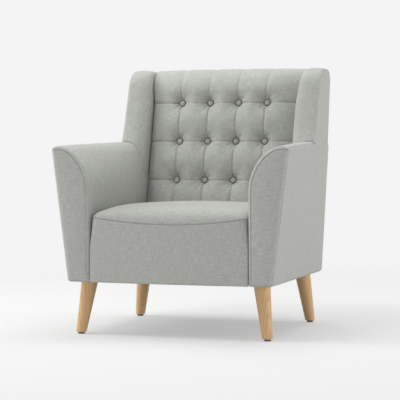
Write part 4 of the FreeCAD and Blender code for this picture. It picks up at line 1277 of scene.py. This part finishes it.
@dataclass
class TuftedBack:
    """The inside back: one cover drawn down by buttons and sewn lines, rolled over the top."""

    half: float = 0.2636
    height: float = 0.8745
    roll: float = 0.100
    foot: float = 0.330
    side_drop: float = 0.036
    side_power: float = 1.5
    columns: tuple[float, ...] = (-0.1554, -0.0518, 0.0518, 0.1554)
    rows: tuple[float, ...] = (0.490, 0.625, 0.760)
    fullness: float = 0.032
    seam_depth: float = 0.007
    row_depth: float = 0.0055
    seam_reach: float = 0.012
    relief_power: float = 2.5
    stitch_depth: float = 0.0032
    stitch_reach: float = 0.0026
    pit_depth: float = 0.036
    pit_floor: float = 0.0085
    pit_reach: float = 0.0215
    pit_power: float = 0.95
    well_depth: float = 0.003
    well_reach: float = 0.0118
    well_power: float = 8.0
    top_drop: float = 0.0005
    tuft_left: tuple[float, ...] = (1.0, 0.6, 0.22, 0.1, 0.02)
    pucker: float = 0.0009
    folds: int = 9
    fold_shift: float = 40.0
    fold_radius: float = 0.024
    fold_reach: float = 0.010
    sewn_edge: float = 0.004
    step: float = 0.0040
    rear_steps: int = 30
    free_reach: float = 0.022
    held_radius: float = 0.026
    free_foot: float = 0.425
    swelling: Swelling = Swelling()
    sharp: float = 80.0
    turn_in: tuple[float, ...] = (0.024, 0.010, 0.003)
    button_radius: float = 0.0097
    button_rise: float = 0.005
    button_root: float = 0.007
    button_power: float = 0.8
    button_cells: tuple[int, int] = (32, 20)
    filling_margin: float = 0.008
    filling_depths: tuple[float, ...] = (0.068, 0.04, 0.03)
    filling_near: float = 2.5
    fill: float = 0.8
    cover: Object | None = None
    filling: Object | None = None
    buttons: Object | None = None

    def path(self) -> tuple[Array, Array, Array, Array]:
        """The line that the cover follows, from the foot over the top to the outside back.

        Returns:
            Y, Z, the angle of the outward normal and the share of tufting left, at each step.
        """
        rake = PLAN.back_rake
        crest_y = PLAN.tuft_y(self.height) + self.roll * tan((pi / 2 - rake) / 2)
        rear_turn = (pi / 2 + PLAN.rear_rake) / 2
        rear_roll = (PLAN.rear_y(self.height, PLAN.rear_cover) - crest_y) / tan(rear_turn)
        start_z = self.height - self.roll + self.roll * sin(rake)
        straight = np.linspace(self.foot, start_z, round((start_z - self.foot) / self.step), endpoint=False)
        rising = np.linspace(rake, pi / 2, round(self.roll * (pi / 2 - rake) / self.step), endpoint=False)
        falling = np.linspace(pi / 2, pi + PLAN.rear_rake, self.rear_steps)
        angles = np.concatenate((np.full(len(straight), rake), rising, falling))
        y = [PLAN.tuft_y(straight)]
        z = [straight]
        for radius, turn in ((self.roll, rising), (rear_roll, falling)):
            y.append(crest_y - radius * np.cos(turn))
            z.append(self.height - radius + radius * np.sin(turn))
        turns = (rake, (rake + pi / 2) / 2, pi / 2, 0.75 * pi, pi + PLAN.rear_rake)
        left = np.interp(angles, turns, self.tuft_left)
        return np.concatenate(y), np.concatenate(z), angles, left

    def distances(self, x: Array, along: Array) -> tuple[Array, Array]:
        """Distances to the nearest column and row of buttons, right and up being positive.

        Args:
            x: Distances from the middle.
            along: Heights on the plane of the buttons.

        Returns:
            The distance across and the distance along the plane.
        """
        from_column = x[..., None] - np.array(self.columns)
        from_row = (along[..., None] - np.array(self.rows)) / cos(PLAN.back_rake)
        return tuple(
            np.take_along_axis(gaps, np.abs(gaps).argmin(axis=-1)[..., None], -1)[..., 0]
            for gaps in (from_column, from_row)
        )

    def relief(self, x: Array, along: Array) -> Array:
        """Height of the cover over the plane of the buttons.

        Args:
            x: Distances from the middle.
            along: Heights on the plane of the buttons.

        Returns:
            The height at each place.
        """
        dx, dz = self.distances(x, along)
        seams = [
            depth * np.exp(-np.abs(distance) / self.seam_reach)
            for depth, distance in ((self.seam_depth, dx), (self.row_depth, dz))
        ]
        beyond = np.maximum(np.hypot(dx, dz) - self.pit_floor, 0)
        pit = self.pit_depth * np.exp(-((beyond / self.pit_reach) ** self.pit_power))
        power = self.relief_power
        return self.fullness - (seams[0] ** power + seams[1] ** power + pit**power) ** (1 / power)

    def sewing(self, x: Array, along: Array) -> Array:
        """Depth of the fine relief: stitched lines, folds round the buttons and the wells they sit in.

        Args:
            x: Distances from the middle.
            along: Heights on the plane of the buttons.

        Returns:
            The depth at each place.
        """
        dx, dz = self.distances(x, along)
        radius = np.hypot(dx, dz)
        stitch = self.stitch_depth * np.exp(-((np.minimum(np.abs(dx), np.abs(dz)) / self.stitch_reach) ** 2))
        folds = np.cos(self.folds * np.arctan2(dz, dx) + self.fold_shift * x)
        folds = folds * np.exp(-(((radius - self.fold_radius) / self.fold_reach) ** 2))
        well = self.well_depth * np.exp(-((radius / self.well_reach) ** self.well_power))
        return np.maximum(stitch, well) - self.pucker * folds

    def side_fall(self, x: Array) -> Array:
        """Share of the fall towards both sides at distances x from the middle."""
        last = self.columns[-1]
        return np.clip((np.abs(x) - last) / (self.half - last), 0, 1) ** self.side_power

    def surface(self) -> Array:
        """Grid of points of the cover with its edges turned in behind the wings.

        Returns:
            Array of rows, columns and X, Y, Z.
        """
        y, z, angles, left = self.path()
        run = np.concatenate(([0], np.cumsum(np.hypot(np.diff(y), np.diff(z)))))
        along = self.foot + run * cos(PLAN.back_rake)
        count = round(2 * self.half / self.step)
        x = np.broadcast_to(np.linspace(-self.half, self.half, count), (len(y), count))
        height = self.relief(x, np.broadcast_to(along[:, None], x.shape)) * left[:, None]
        fall = np.interp(left, [0.0, self.tuft_left[2], 1.0], [0.0, self.top_drop, self.side_drop])
        height = height - self.side_fall(x) * fall[:, None]
        turned = height[:, :1] - np.array(self.turn_in) * left[:, None]
        height = np.hstack((turned, height, turned[:, ::-1]))
        edges = x[:, :1] * np.ones(len(self.turn_in))
        x = np.hstack((edges, x, -edges)) * (1 + PLAN.lean(z) / self.half)[:, None]
        return np.dstack(
            (x, y[:, None] - np.cos(angles)[:, None] * height, z[:, None] + np.sin(angles)[:, None] * height)
        )

    def build_filling(self, surface: Array) -> None:
        """Makes the foam behind the cover.

        Args:
            surface: Grid of points of the cover.
        """
        y, z, angles, _ = self.path()
        edge = len(self.turn_in)
        front = surface[:, edge:-edge]
        turn = angles[:, None]
        normal = np.dstack((0 * turn, -np.cos(turn), np.sin(turn)))
        turns = (PLAN.back_rake, pi / 2, pi + PLAN.rear_rake)
        depth = np.interp(angles, turns, self.filling_depths)
        from_button = np.hypot(*self.distances(front[..., 0], front[..., 2]))
        sink = self.filling_margin + self.well_depth * (from_button < self.filling_near * self.well_reach)
        front = front - normal * sink[..., None]
        front = front * np.array((1 - self.filling_margin / self.half, 1, 1))
        y, z = (np.broadcast_to(line[:, None], front.shape[:2]) for line in (y, z))
        rear = np.dstack((front[..., 0], y, z)) - normal * depth[:, None, None]
        self.filling = Workbench.tube("back_filling", np.concatenate((front, rear[:, ::-1]), axis=1))

    def front_y(self, x: Array, z: Array) -> Array:
        """Y of the cover at places on its straight part."""
        height = self.relief(x, z) - self.side_drop * self.side_fall(x)
        return PLAN.tuft_y(z) - height / cos(PLAN.back_rake)

    def build_buttons(self) -> None:
        """Makes one covered button and sets copies of it in the pits."""
        Workbench.clear()
        segments, rings = self.button_cells
        bpy.ops.mesh.primitive_uv_sphere_add(segments=segments, ring_count=rings, radius=1.0)
        master = Workbench.named("tuft_button_set")
        raw = Workbench.points(master)
        flat = np.maximum(np.hypot(raw[:, 0], raw[:, 1]), Workbench.TINY)
        wide = raw[:, :2] * (flat ** (self.button_power - 1) * self.button_radius)[:, None]
        high = raw[:, 2] * np.where(raw[:, 2] > 0, self.button_rise, self.button_root)
        rake = PLAN.back_rake
        basis = np.array(((1, 0, 0), (0, sin(rake), cos(rake)), (0, -cos(rake), sin(rake))))
        dome = np.column_stack((wide, high)) @ basis
        spots = [np.array((x, PLAN.tuft_y(z), z)) for z in self.rows for x in self.columns]
        Workbench.move(master, dome + spots[0])
        copies = []
        for spot in spots[1:]:
            copy = master.copy()
            copy.data = master.data.copy()
            bpy.context.scene.collection.objects.link(copy)
            Workbench.move(copy, dome + spot)
            copies.append(copy)
        Workbench.take(master)
        for copy in copies:
            copy.select_set(True)
        bpy.ops.object.join()
        self.buttons = master
        Workbench.soften(self.buttons)

    def held(self) -> Array:
        """How firmly the cover is held at buttons, sewn lines and edges.

        Returns:
            One value per point, from 0 where it is free to 1.
        """
        x, z = Workbench.points(self.cover)[:, [0, 2]].T
        dx, dz = self.distances(x, z)
        gaps = (np.abs(dx), np.abs(dz), np.hypot(dx, dz) - self.held_radius, self.half - np.abs(x))
        free = np.clip(np.minimum.reduce(gaps) / self.free_reach, 0, 1)
        free = free * (z > self.free_foot) * (z < self.height - self.roll)
        return np.round(1 - free, 2)

    def build(self) -> None:
        """Makes the cover, the foam behind it and the buttons."""
        surface = self.surface()
        self.cover = Workbench.sheet("back_tufting", surface)
        Workbench.close(self.cover)
        Workbench.swell(self.cover, self.held(), self.swelling)
        Workbench.subdivide(self.cover)
        self.sew()
        Workbench.soften(self.cover, self.sharp)
        self.build_filling(surface)
        self.build_buttons()

    def sew(self) -> None:
        """Draws the stitched lines and the buttons' wells into the cover."""
        places = Workbench.points(self.cover)
        normals = np.empty(len(places) * 3)
        self.cover.data.vertices.foreach_get("normal", normals)
        x, z = places[:, 0], places[:, 2]
        top = self.height - self.roll
        fade = np.clip(1 - (z - top) / self.roll, 0, 1)
        depth = self.sewing(x, z) * fade * (np.abs(x) < self.half - self.sewn_edge)
        Workbench.move(self.cover, places - normals.reshape(-1, 3) * depth[:, None])

    def dress(self, finish: Finish) -> None:
        """Dresses the cover, the foam behind it and the buttons.

        Args:
            finish: The cover's material.
        """
        dress_pad(self.cover, ["back_cover"], finish, self.fill)
        dress_pad(self.filling, ["back_foam"], FOAM, FULL)
        dress_pad(self.buttons, ["tuft_buttons"], finish, FULL)


@dataclass
class SeatPad:
    """The tight seat: a crowned top rolled over the front, and the front panel sewn to it."""

    back: TuftedBack
    half: float = 0.2636
    draw: float = 0.008
    crown: float = 0.011
    side_height: float = 0.407
    roll: float = 0.058
    roll_reach: float = 1.15
    roll_fade: float = 0.55
    bow: float = 0.010
    corner_stops: tuple[float, ...] = (0.0, 0.15, 0.3, 0.5, 1.0)
    corner_wide: tuple[float, ...] = (0.030, 0.050, 0.056, 0.034, 0.022)
    corner_deep: tuple[float, ...] = (0.015, 0.020, 0.018, 0.010, 0.008)
    panel_wide: float = 0.004
    panel_deep: float = 0.003
    bend: float = 0.3
    depth: float = 0.003
    panel_depth: float = 0.003
    filling_margin: float = 0.0045
    filling_width: float = 0.985
    filling_rings: int = 61
    filling_points: int = 60
    front_pad: float = 0.014
    deck: float = 0.2805
    foot: float = 0.176
    lip: float = 0.002
    lip_share: float = 0.02
    hem: float = 0.006
    drawn_from: float = 0.285
    swell_from: float = 0.05
    swell_span: float = 0.75
    swell_start: float = 6.0
    crowding: float = 0.6
    panel_crowding: float = 0.7
    filling_sharp: float = 40.0
    fill: float = 0.85
    panel_fill: float = 0.9
    cells: Cells = (90, 80, 2)
    panel_cells: Cells = (90, 2, 60)
    top: Object | None = None
    panel: Object | None = None
    filling: Object | None = None

    def width(self, z: Array) -> Array:
        """Half width at a height: full at the base, drawn in towards the top."""
        rise = np.clip((z - self.drawn_from) / (PLAN.seat_height - self.drawn_from), 0, 1)
        return self.half - self.draw * rise

    def seam_z(self, share: Array) -> Array:
        """Height of the seam between top and front panel at a share of the half width."""
        return self.side_height + self.crown * (1 - share**2) - self.roll * (1 - self.roll_fade * share**2)

    def front_y(self, share: Array) -> Array:
        """Y of the bowed front at a share of the half width."""
        return PLAN.front - self.bow * (1 - share**2)

    def skin(self, share: Array, path: Array, inside: Values) -> Array:
        """Points of the rolled top.

        Args:
            share: Places across, from -1 to 1.
            path: Places from the seam over the roll to the rear, from 0 to 1.
            inside: Distances under the surface.

        Returns:
            One row of X, Y and Z per point.
        """
        crest = self.side_height + self.crown * (1 - share**2)
        roll = self.roll * (1 - self.roll_fade * share**2)
        reach = self.roll_reach * roll
        front = self.front_y(share)
        turn = np.clip(path / self.bend, 0, 1) * pi / 2
        over = np.clip((path - self.bend) / (1 - self.bend), 0, 1)
        rear = self.back.front_y(share * self.width(crest), crest) - PLAN.gap
        shoulder_z = crest - self.crown / 2
        drop = shoulder_z - (crest - roll)
        curved = path <= self.bend
        top_y = front + reach + (rear - front - reach) * over
        y = np.where(curved, front + reach * (1 - np.cos(turn)), top_y)
        wave = np.sin(pi * (self.swell_from + self.swell_span * over))
        swell = self.crown * wave * np.sqrt(np.clip(over * self.swell_start, 0, 1))
        z = np.where(curved, shoulder_z - drop * (1 - np.sin(turn)), shoulder_z + swell)
        wide = np.interp(path, self.corner_stops, self.corner_wide)
        deep = np.interp(path, self.corner_stops, self.corner_deep)
        inside = inside + turned_edge((1 - np.abs(share)) * self.half, wide) * deep / wide
        y = y + np.where(curved, np.cos(turn), 0.0) * inside
        z = z - np.where(curved, np.sin(turn), 1.0) * inside
        return np.column_stack((share * self.width(z), y, z))

    def shape_top(self, raw: Array) -> Array:
        """Turns the unit block into the rolled top."""
        lip = self.lip * np.clip(1 - raw[:, 1] / self.lip_share, 0, 1) ** 2
        return self.skin(self.across(raw[:, 0]), raw[:, 1], lip + self.depth * (1 - raw[:, 2]))

    def across(self, share: Array) -> Array:
        """Places from -1 to 1, closer together towards both sides."""
        return self.crowding * np.sin((share - 0.5) * pi) + (1 - self.crowding) * (2 * share - 1)

    def build_filling(self) -> None:
        """Makes the foam under the top and behind the front panel."""
        rings = []
        for share in np.linspace(-1, 1, self.filling_rings):
            path = np.linspace(0, 1, self.filling_points)
            wide = np.full(len(path), share * self.filling_width)
            top = self.skin(wide, path, self.filling_margin)
            x, front = top[0, 0], top[0, 1]
            rear = top[-1, 1]
            rail = front + self.front_pad
            low = [(rear, self.deck), (rail, self.deck), (rail, self.foot), (front, self.foot)]
            rings.append(np.vstack((top, [(x, y, z) for y, z in low])))
        self.filling = Workbench.tube("seat_filling", np.array(rings), self.filling_sharp)

    def shape_panel(self, raw: Array) -> Array:
        """Turns the unit block into the front panel.

        Args:
            raw: Places in the block, from 0 to 1.

        Returns:
            Places on the panel.
        """
        share = self.across(raw[:, 0])
        up = self.panel_crowding * eased(raw[:, 2]) + (1 - self.panel_crowding) * raw[:, 2]
        low = PLAN.base_height
        top = self.seam_z(share) - PLAN.gap
        z = low + (top - low) * up
        rise = np.clip((z - self.drawn_from) / (top - self.drawn_from), 0, 1)
        wide = self.panel_wide + (self.corner_wide[0] - self.panel_wide) * rise
        deep = self.panel_deep + (self.corner_deep[0] - self.panel_deep) * rise
        side = turned_edge((1 - np.abs(share)) * self.half, wide) * deep / wide
        inside = turned_edge(top - z, self.lip) + turned_edge(z - low, self.hem) + side
        inside = inside + self.panel_depth * raw[:, 1]
        return np.column_stack((share * self.width(z), self.front_y(share) + inside, z))

    def build(self) -> None:
        """Makes the top, the front panel and the foam in them."""
        self.top = Workbench.mould("seat_pad", self.cells, self.shape_top)
        self.panel = Workbench.mould("seat_front_panel", self.panel_cells, self.shape_panel)
        self.build_filling()

    def dress(self, finish: Finish) -> None:
        """Dresses the pieces.

        Args:
            finish: The cover's material.
        """
        dress_pad(self.filling, ["seat_foam"], FOAM, FULL)
        dress_pad(self.top, ["seat_cover"], finish, self.fill)
        dress_pad(self.panel, ["seat_front_cover"], finish, self.panel_fill)


@dataclass
class OutsideBack:
    """The plain panel that closes the rear."""

    heights: tuple[float, ...] = (0.172, 0.184, 0.613, 0.8408)
    halves: tuple[float, ...] = (0.3305, 0.3395, 0.3465, 0.3445)
    thickness: float = 0.004
    edge_drop: float = 0.003
    crown: float = 0.002
    edge_power: float = 30.0
    fill: float = 0.5
    cells: Cells = (70, 2, 70)
    panel: Object | None = None

    def shape(self, raw: Array) -> Array:
        """Turns the unit block into the panel.

        Args:
            raw: Places in the block, from 0 to 1.

        Returns:
            Places on the panel.
        """
        across = np.sin((raw[:, 0] - 0.5) * pi)
        up = eased(raw[:, 2])
        z = self.heights[0] + (self.heights[-1] - self.heights[0]) * up
        x = across * np.interp(z, self.heights, self.halves)
        drop = np.maximum(arch(across, self.edge_power), arch(2 * up - 1, self.edge_power)) * self.edge_drop
        swell = self.crown * (1 - across**2) * np.sin(pi * up)
        outside = (swell - drop) * raw[:, 1]
        y = PLAN.rear_y(z) + outside - self.thickness * (1 - raw[:, 1])
        return np.column_stack((x, y, z))

    def build(self) -> None:
        """Makes the panel."""
        self.panel = Workbench.mould("outside_back", self.cells, self.shape)

    def dress(self, finish: Finish) -> None:
        """Dresses the panel."""
        dress_pad(self.panel, ["rear_cover"], finish, self.fill)


@dataclass
class DustCover:
    """The cloth stretched under the seat, cut out round the legs."""

    half: float = 0.2834
    front: float = -0.3476
    rear: float = 0.2706
    height: float = 0.1742
    sag: float = 0.001
    notch_x: float = 0.2576
    notches: tuple[tuple[float, float], ...] = ((-0.34097, -0.27617), (0.17203, 0.23683))
    pitch: float = 0.012
    holds: tuple[str, ...] = ("front_rail", "rear_rail", "side_rail_left", "side_rail_right")
    cloth: Object | None = None

    def lines(self, stops: list[float]) -> Array:
        """Places of grid lines that run through every stop.

        Args:
            stops: The stops in order.

        Returns:
            The places in order.
        """
        runs = [
            np.linspace(start, end, max(1, round((end - start) / self.pitch)), endpoint=False)
            for start, end in zip(stops, stops[1:])
        ]
        return np.concatenate((*runs, stops[-1:]))

    def build(self) -> None:
        """Makes the cloth."""
        cuts = [place for notch in self.notches for place in notch]
        x, y = np.meshgrid(
            self.lines([-self.half, -self.notch_x, self.notch_x, self.half]),
            self.lines([self.front, *cuts, self.rear]),
        )
        along = (y - self.front) / (self.rear - self.front)
        z = self.height - self.sag * (1 - (x / self.half) ** 2) * np.sin(pi * along)
        self.cloth = Workbench.sheet("dust_cloth", np.dstack((x, y, z)))
        Workbench.take(self.cloth)
        bpy.ops.object.mode_set(mode="EDIT")
        bpy.ops.mesh.select_mode(type="FACE")
        bpy.ops.mesh.select_all(action="DESELECT")
        bpy.ops.object.mode_set(mode="OBJECT")
        for face in self.cloth.data.polygons:
            beside = any(start < face.center.y < end for start, end in self.notches)
            face.select = beside and abs(face.center.x) > self.notch_x
        bpy.ops.object.mode_set(mode="EDIT")
        bpy.ops.mesh.delete(type="FACE")
        bpy.ops.mesh.select_all(action="SELECT")
        bpy.ops.mesh.flip_normals()
        bpy.ops.object.mode_set(mode="OBJECT")
        Workbench.soften(self.cloth)

    def dress(self, finish: Finish) -> None:
        """Dresses the cloth.

        Args:
            finish: The cloth's material.
        """
        cut = sum(end - start for start, end in self.notches) * 2 * (self.half - self.notch_x)
        dress_piece(self.cloth, ["dust_cover"], finish)
        list(self.holds)


@dataclass
class Carcass:
    """Nodes whose solids stay as they are: legs, glides, timber frame, linings, suspension and ties."""

    finishes: tuple[Finish, ...] = (BEECH, PINE, STEEL, PLASTIC, FELT, BOARD, WEBBING)

    def dress(self) -> None:
        """Gives every shown node the finish of its slot."""
        finishes = {finish.slot: finish for finish in self.finishes}
        slots = {row["node"]: row["material_slot"] for row in frame["record"]["subparts"]}
        for name, node in frame["nodes"].items():
            if node.hide_render:
                continue
            node.data.materials.clear()
            node.data.materials.append(finishes[slots[name]].material())
            LOG.info("%s: %s", name, slots[name])


@dataclass(frozen=True)
class Lamp:
    """A square soft lamp: its name, place, side length in metres and power in watts."""

    name: str
    place: Place
    size: float
    power: float


@dataclass
class Studio:
    """Pale floor, soft lamps and the camera."""

    eye: Place = (1.5602, -4.8168, 0.5984)
    target: Place = (-0.02637, 0.0344, 0.42467)
    lens: float = 135.0
    sensor: float = 36.0
    backdrop: float = 0.905
    world_level: float = 0.45
    aim: Place = (0.0, 0.0, 0.4)
    clip_end: float = 100.0
    floor_size: float = 60.0
    floor_tone: float = 0.77
    floor_glow: float = 0.42
    floor_fade: tuple[float, float] = (0.9, 3.2)
    lamps: tuple[Lamp, ...] = (
        Lamp("top_lamp", (0.2, 1.4, 4.4), 2.5, 72.0),
        Lamp("key_lamp", (-1.6, -1.8, 4.6), 2.0, 70.0),
        Lamp("left_lamp", (-3.6, -0.6, 3.0), 2.0, 66.0),
        Lamp("low_left_lamp", (-4.2, -1.6, 1.2), 2.0, 20.0),
        Lamp("right_lamp", (4.2, 0.2, 1.2), 2.0, 52.0),
    )

    def floor(self) -> None:
        """Makes the floor, which keeps the chair's shadow and fades to the backdrop."""
        Workbench.clear()
        bpy.ops.mesh.primitive_plane_add(size=self.floor_size)
        floor = Workbench.named("floor")
        material = bpy.data.materials.new("studio_floor")
        material.use_nodes = True
        tree = material.node_tree
        tree.nodes.clear()
        board = NodeBoard(tree)
        place = board.add("ShaderNodeTexCoord").outputs["Object"]
        away = board.add("ShaderNodeVectorMath", {0: place}, operation="LENGTH").outputs["Value"]
        fade = board.ramp(away, *self.floor_fade)
        far = board.math("MULTIPLY_ADD", fade, 1 - self.floor_glow, self.floor_glow)
        seen = board.add("ShaderNodeLightPath").outputs["Is Camera Ray"]
        paper = board.add("ShaderNodeBsdfDiffuse", {"Color": shade(*[self.floor_tone] * 3)})
        glow = board.add("ShaderNodeEmission", {"Color": (1, 1, 1, 1), "Strength": self.backdrop})
        share = board.math("MULTIPLY", far, seen)
        mixed = board.add("ShaderNodeMixShader", {0: share, 1: paper.outputs[0], 2: glow.outputs[0]})
        below = board.add("ShaderNodeNewGeometry").outputs["Backfacing"]
        clear = board.add("ShaderNodeBsdfTransparent")
        shown = board.add("ShaderNodeMixShader", {0: below, 1: mixed.outputs[0], 2: clear.outputs[0]})
        result = board.add("ShaderNodeOutputMaterial")
        board.feed(result.inputs["Surface"], shown.outputs[0])
        floor.data.materials.append(material)

    def world(self) -> None:
        """Sets even light from all round, with a pale backdrop for the camera."""
        world = bpy.data.worlds.new("studio_world")
        world.use_nodes = True
        bpy.context.scene.world = world
        board = NodeBoard(world.node_tree)
        background = world.node_tree.nodes["Background"]
        path = board.add("ShaderNodeLightPath")
        direct = board.math("MAXIMUM", path.outputs["Is Camera Ray"], path.outputs["Is Glossy Ray"])
        direct = board.math("MAXIMUM", direct, path.outputs["Is Transmission Ray"])
        level = board.math("MULTIPLY_ADD", direct, self.backdrop - self.world_level, self.world_level)
        board.feed(background.inputs["Strength"], level)
        background.inputs["Color"].default_value = (1, 1, 1, 1)

    @staticmethod
    def point(thing: Object, target: Place) -> None:
        """Turns a lamp or the camera towards a target."""
        thing.rotation_mode = "QUATERNION"
        thing.rotation_quaternion = (Vector(target) - thing.location).to_track_quat("-Z", "Y")

    def lamp(self, lamp: Lamp) -> None:
        """Adds a lamp that points at the chair.

        Args:
            lamp: The lamp.
        """
        Workbench.clear()
        bpy.ops.object.light_add(type="AREA", location=lamp.place)
        light = bpy.context.object
        light.name = lamp.name
        light.data.size = lamp.size
        light.data.energy = lamp.power
        self.point(light, self.aim)

    def camera(self) -> None:
        """Places the camera."""
        Workbench.clear()
        bpy.ops.object.camera_add(location=self.eye)
        camera = bpy.context.object
        camera.name = "studio_camera"
        camera.data.lens = self.lens
        camera.data.sensor_width = self.sensor
        camera.data.clip_end = self.clip_end
        self.point(camera, self.target)
        bpy.context.scene.camera = camera

    def build(self) -> None:
        """Sets up the studio."""
        bpy.context.scene.view_settings.view_transform = "Standard"
        self.floor()
        self.world()
        for lamp in self.lamps:
            self.lamp(lamp)
        self.camera()


def write_sizes() -> None:
    """Updates the view layer."""
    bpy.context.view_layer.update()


def main() -> None:
    """Builds and dresses the chair and sets up the studio."""
    logging.basicConfig(level=logging.INFO, format="%(message)s")
    back = TuftedBack()
    parts = [back, SeatPad(back), OutsideBack()]
    for side in Side:
        parts += [ArmPad(side), WingPad(side)]
    for part in parts:
        part.build()
        part.dress(LINEN)
    under = DustCover()
    under.build()
    under.dress(CAMBRIC)
    Carcass().dress()
    Studio().build()
    write_sizes()


if __name__ == "__main__":
    main()
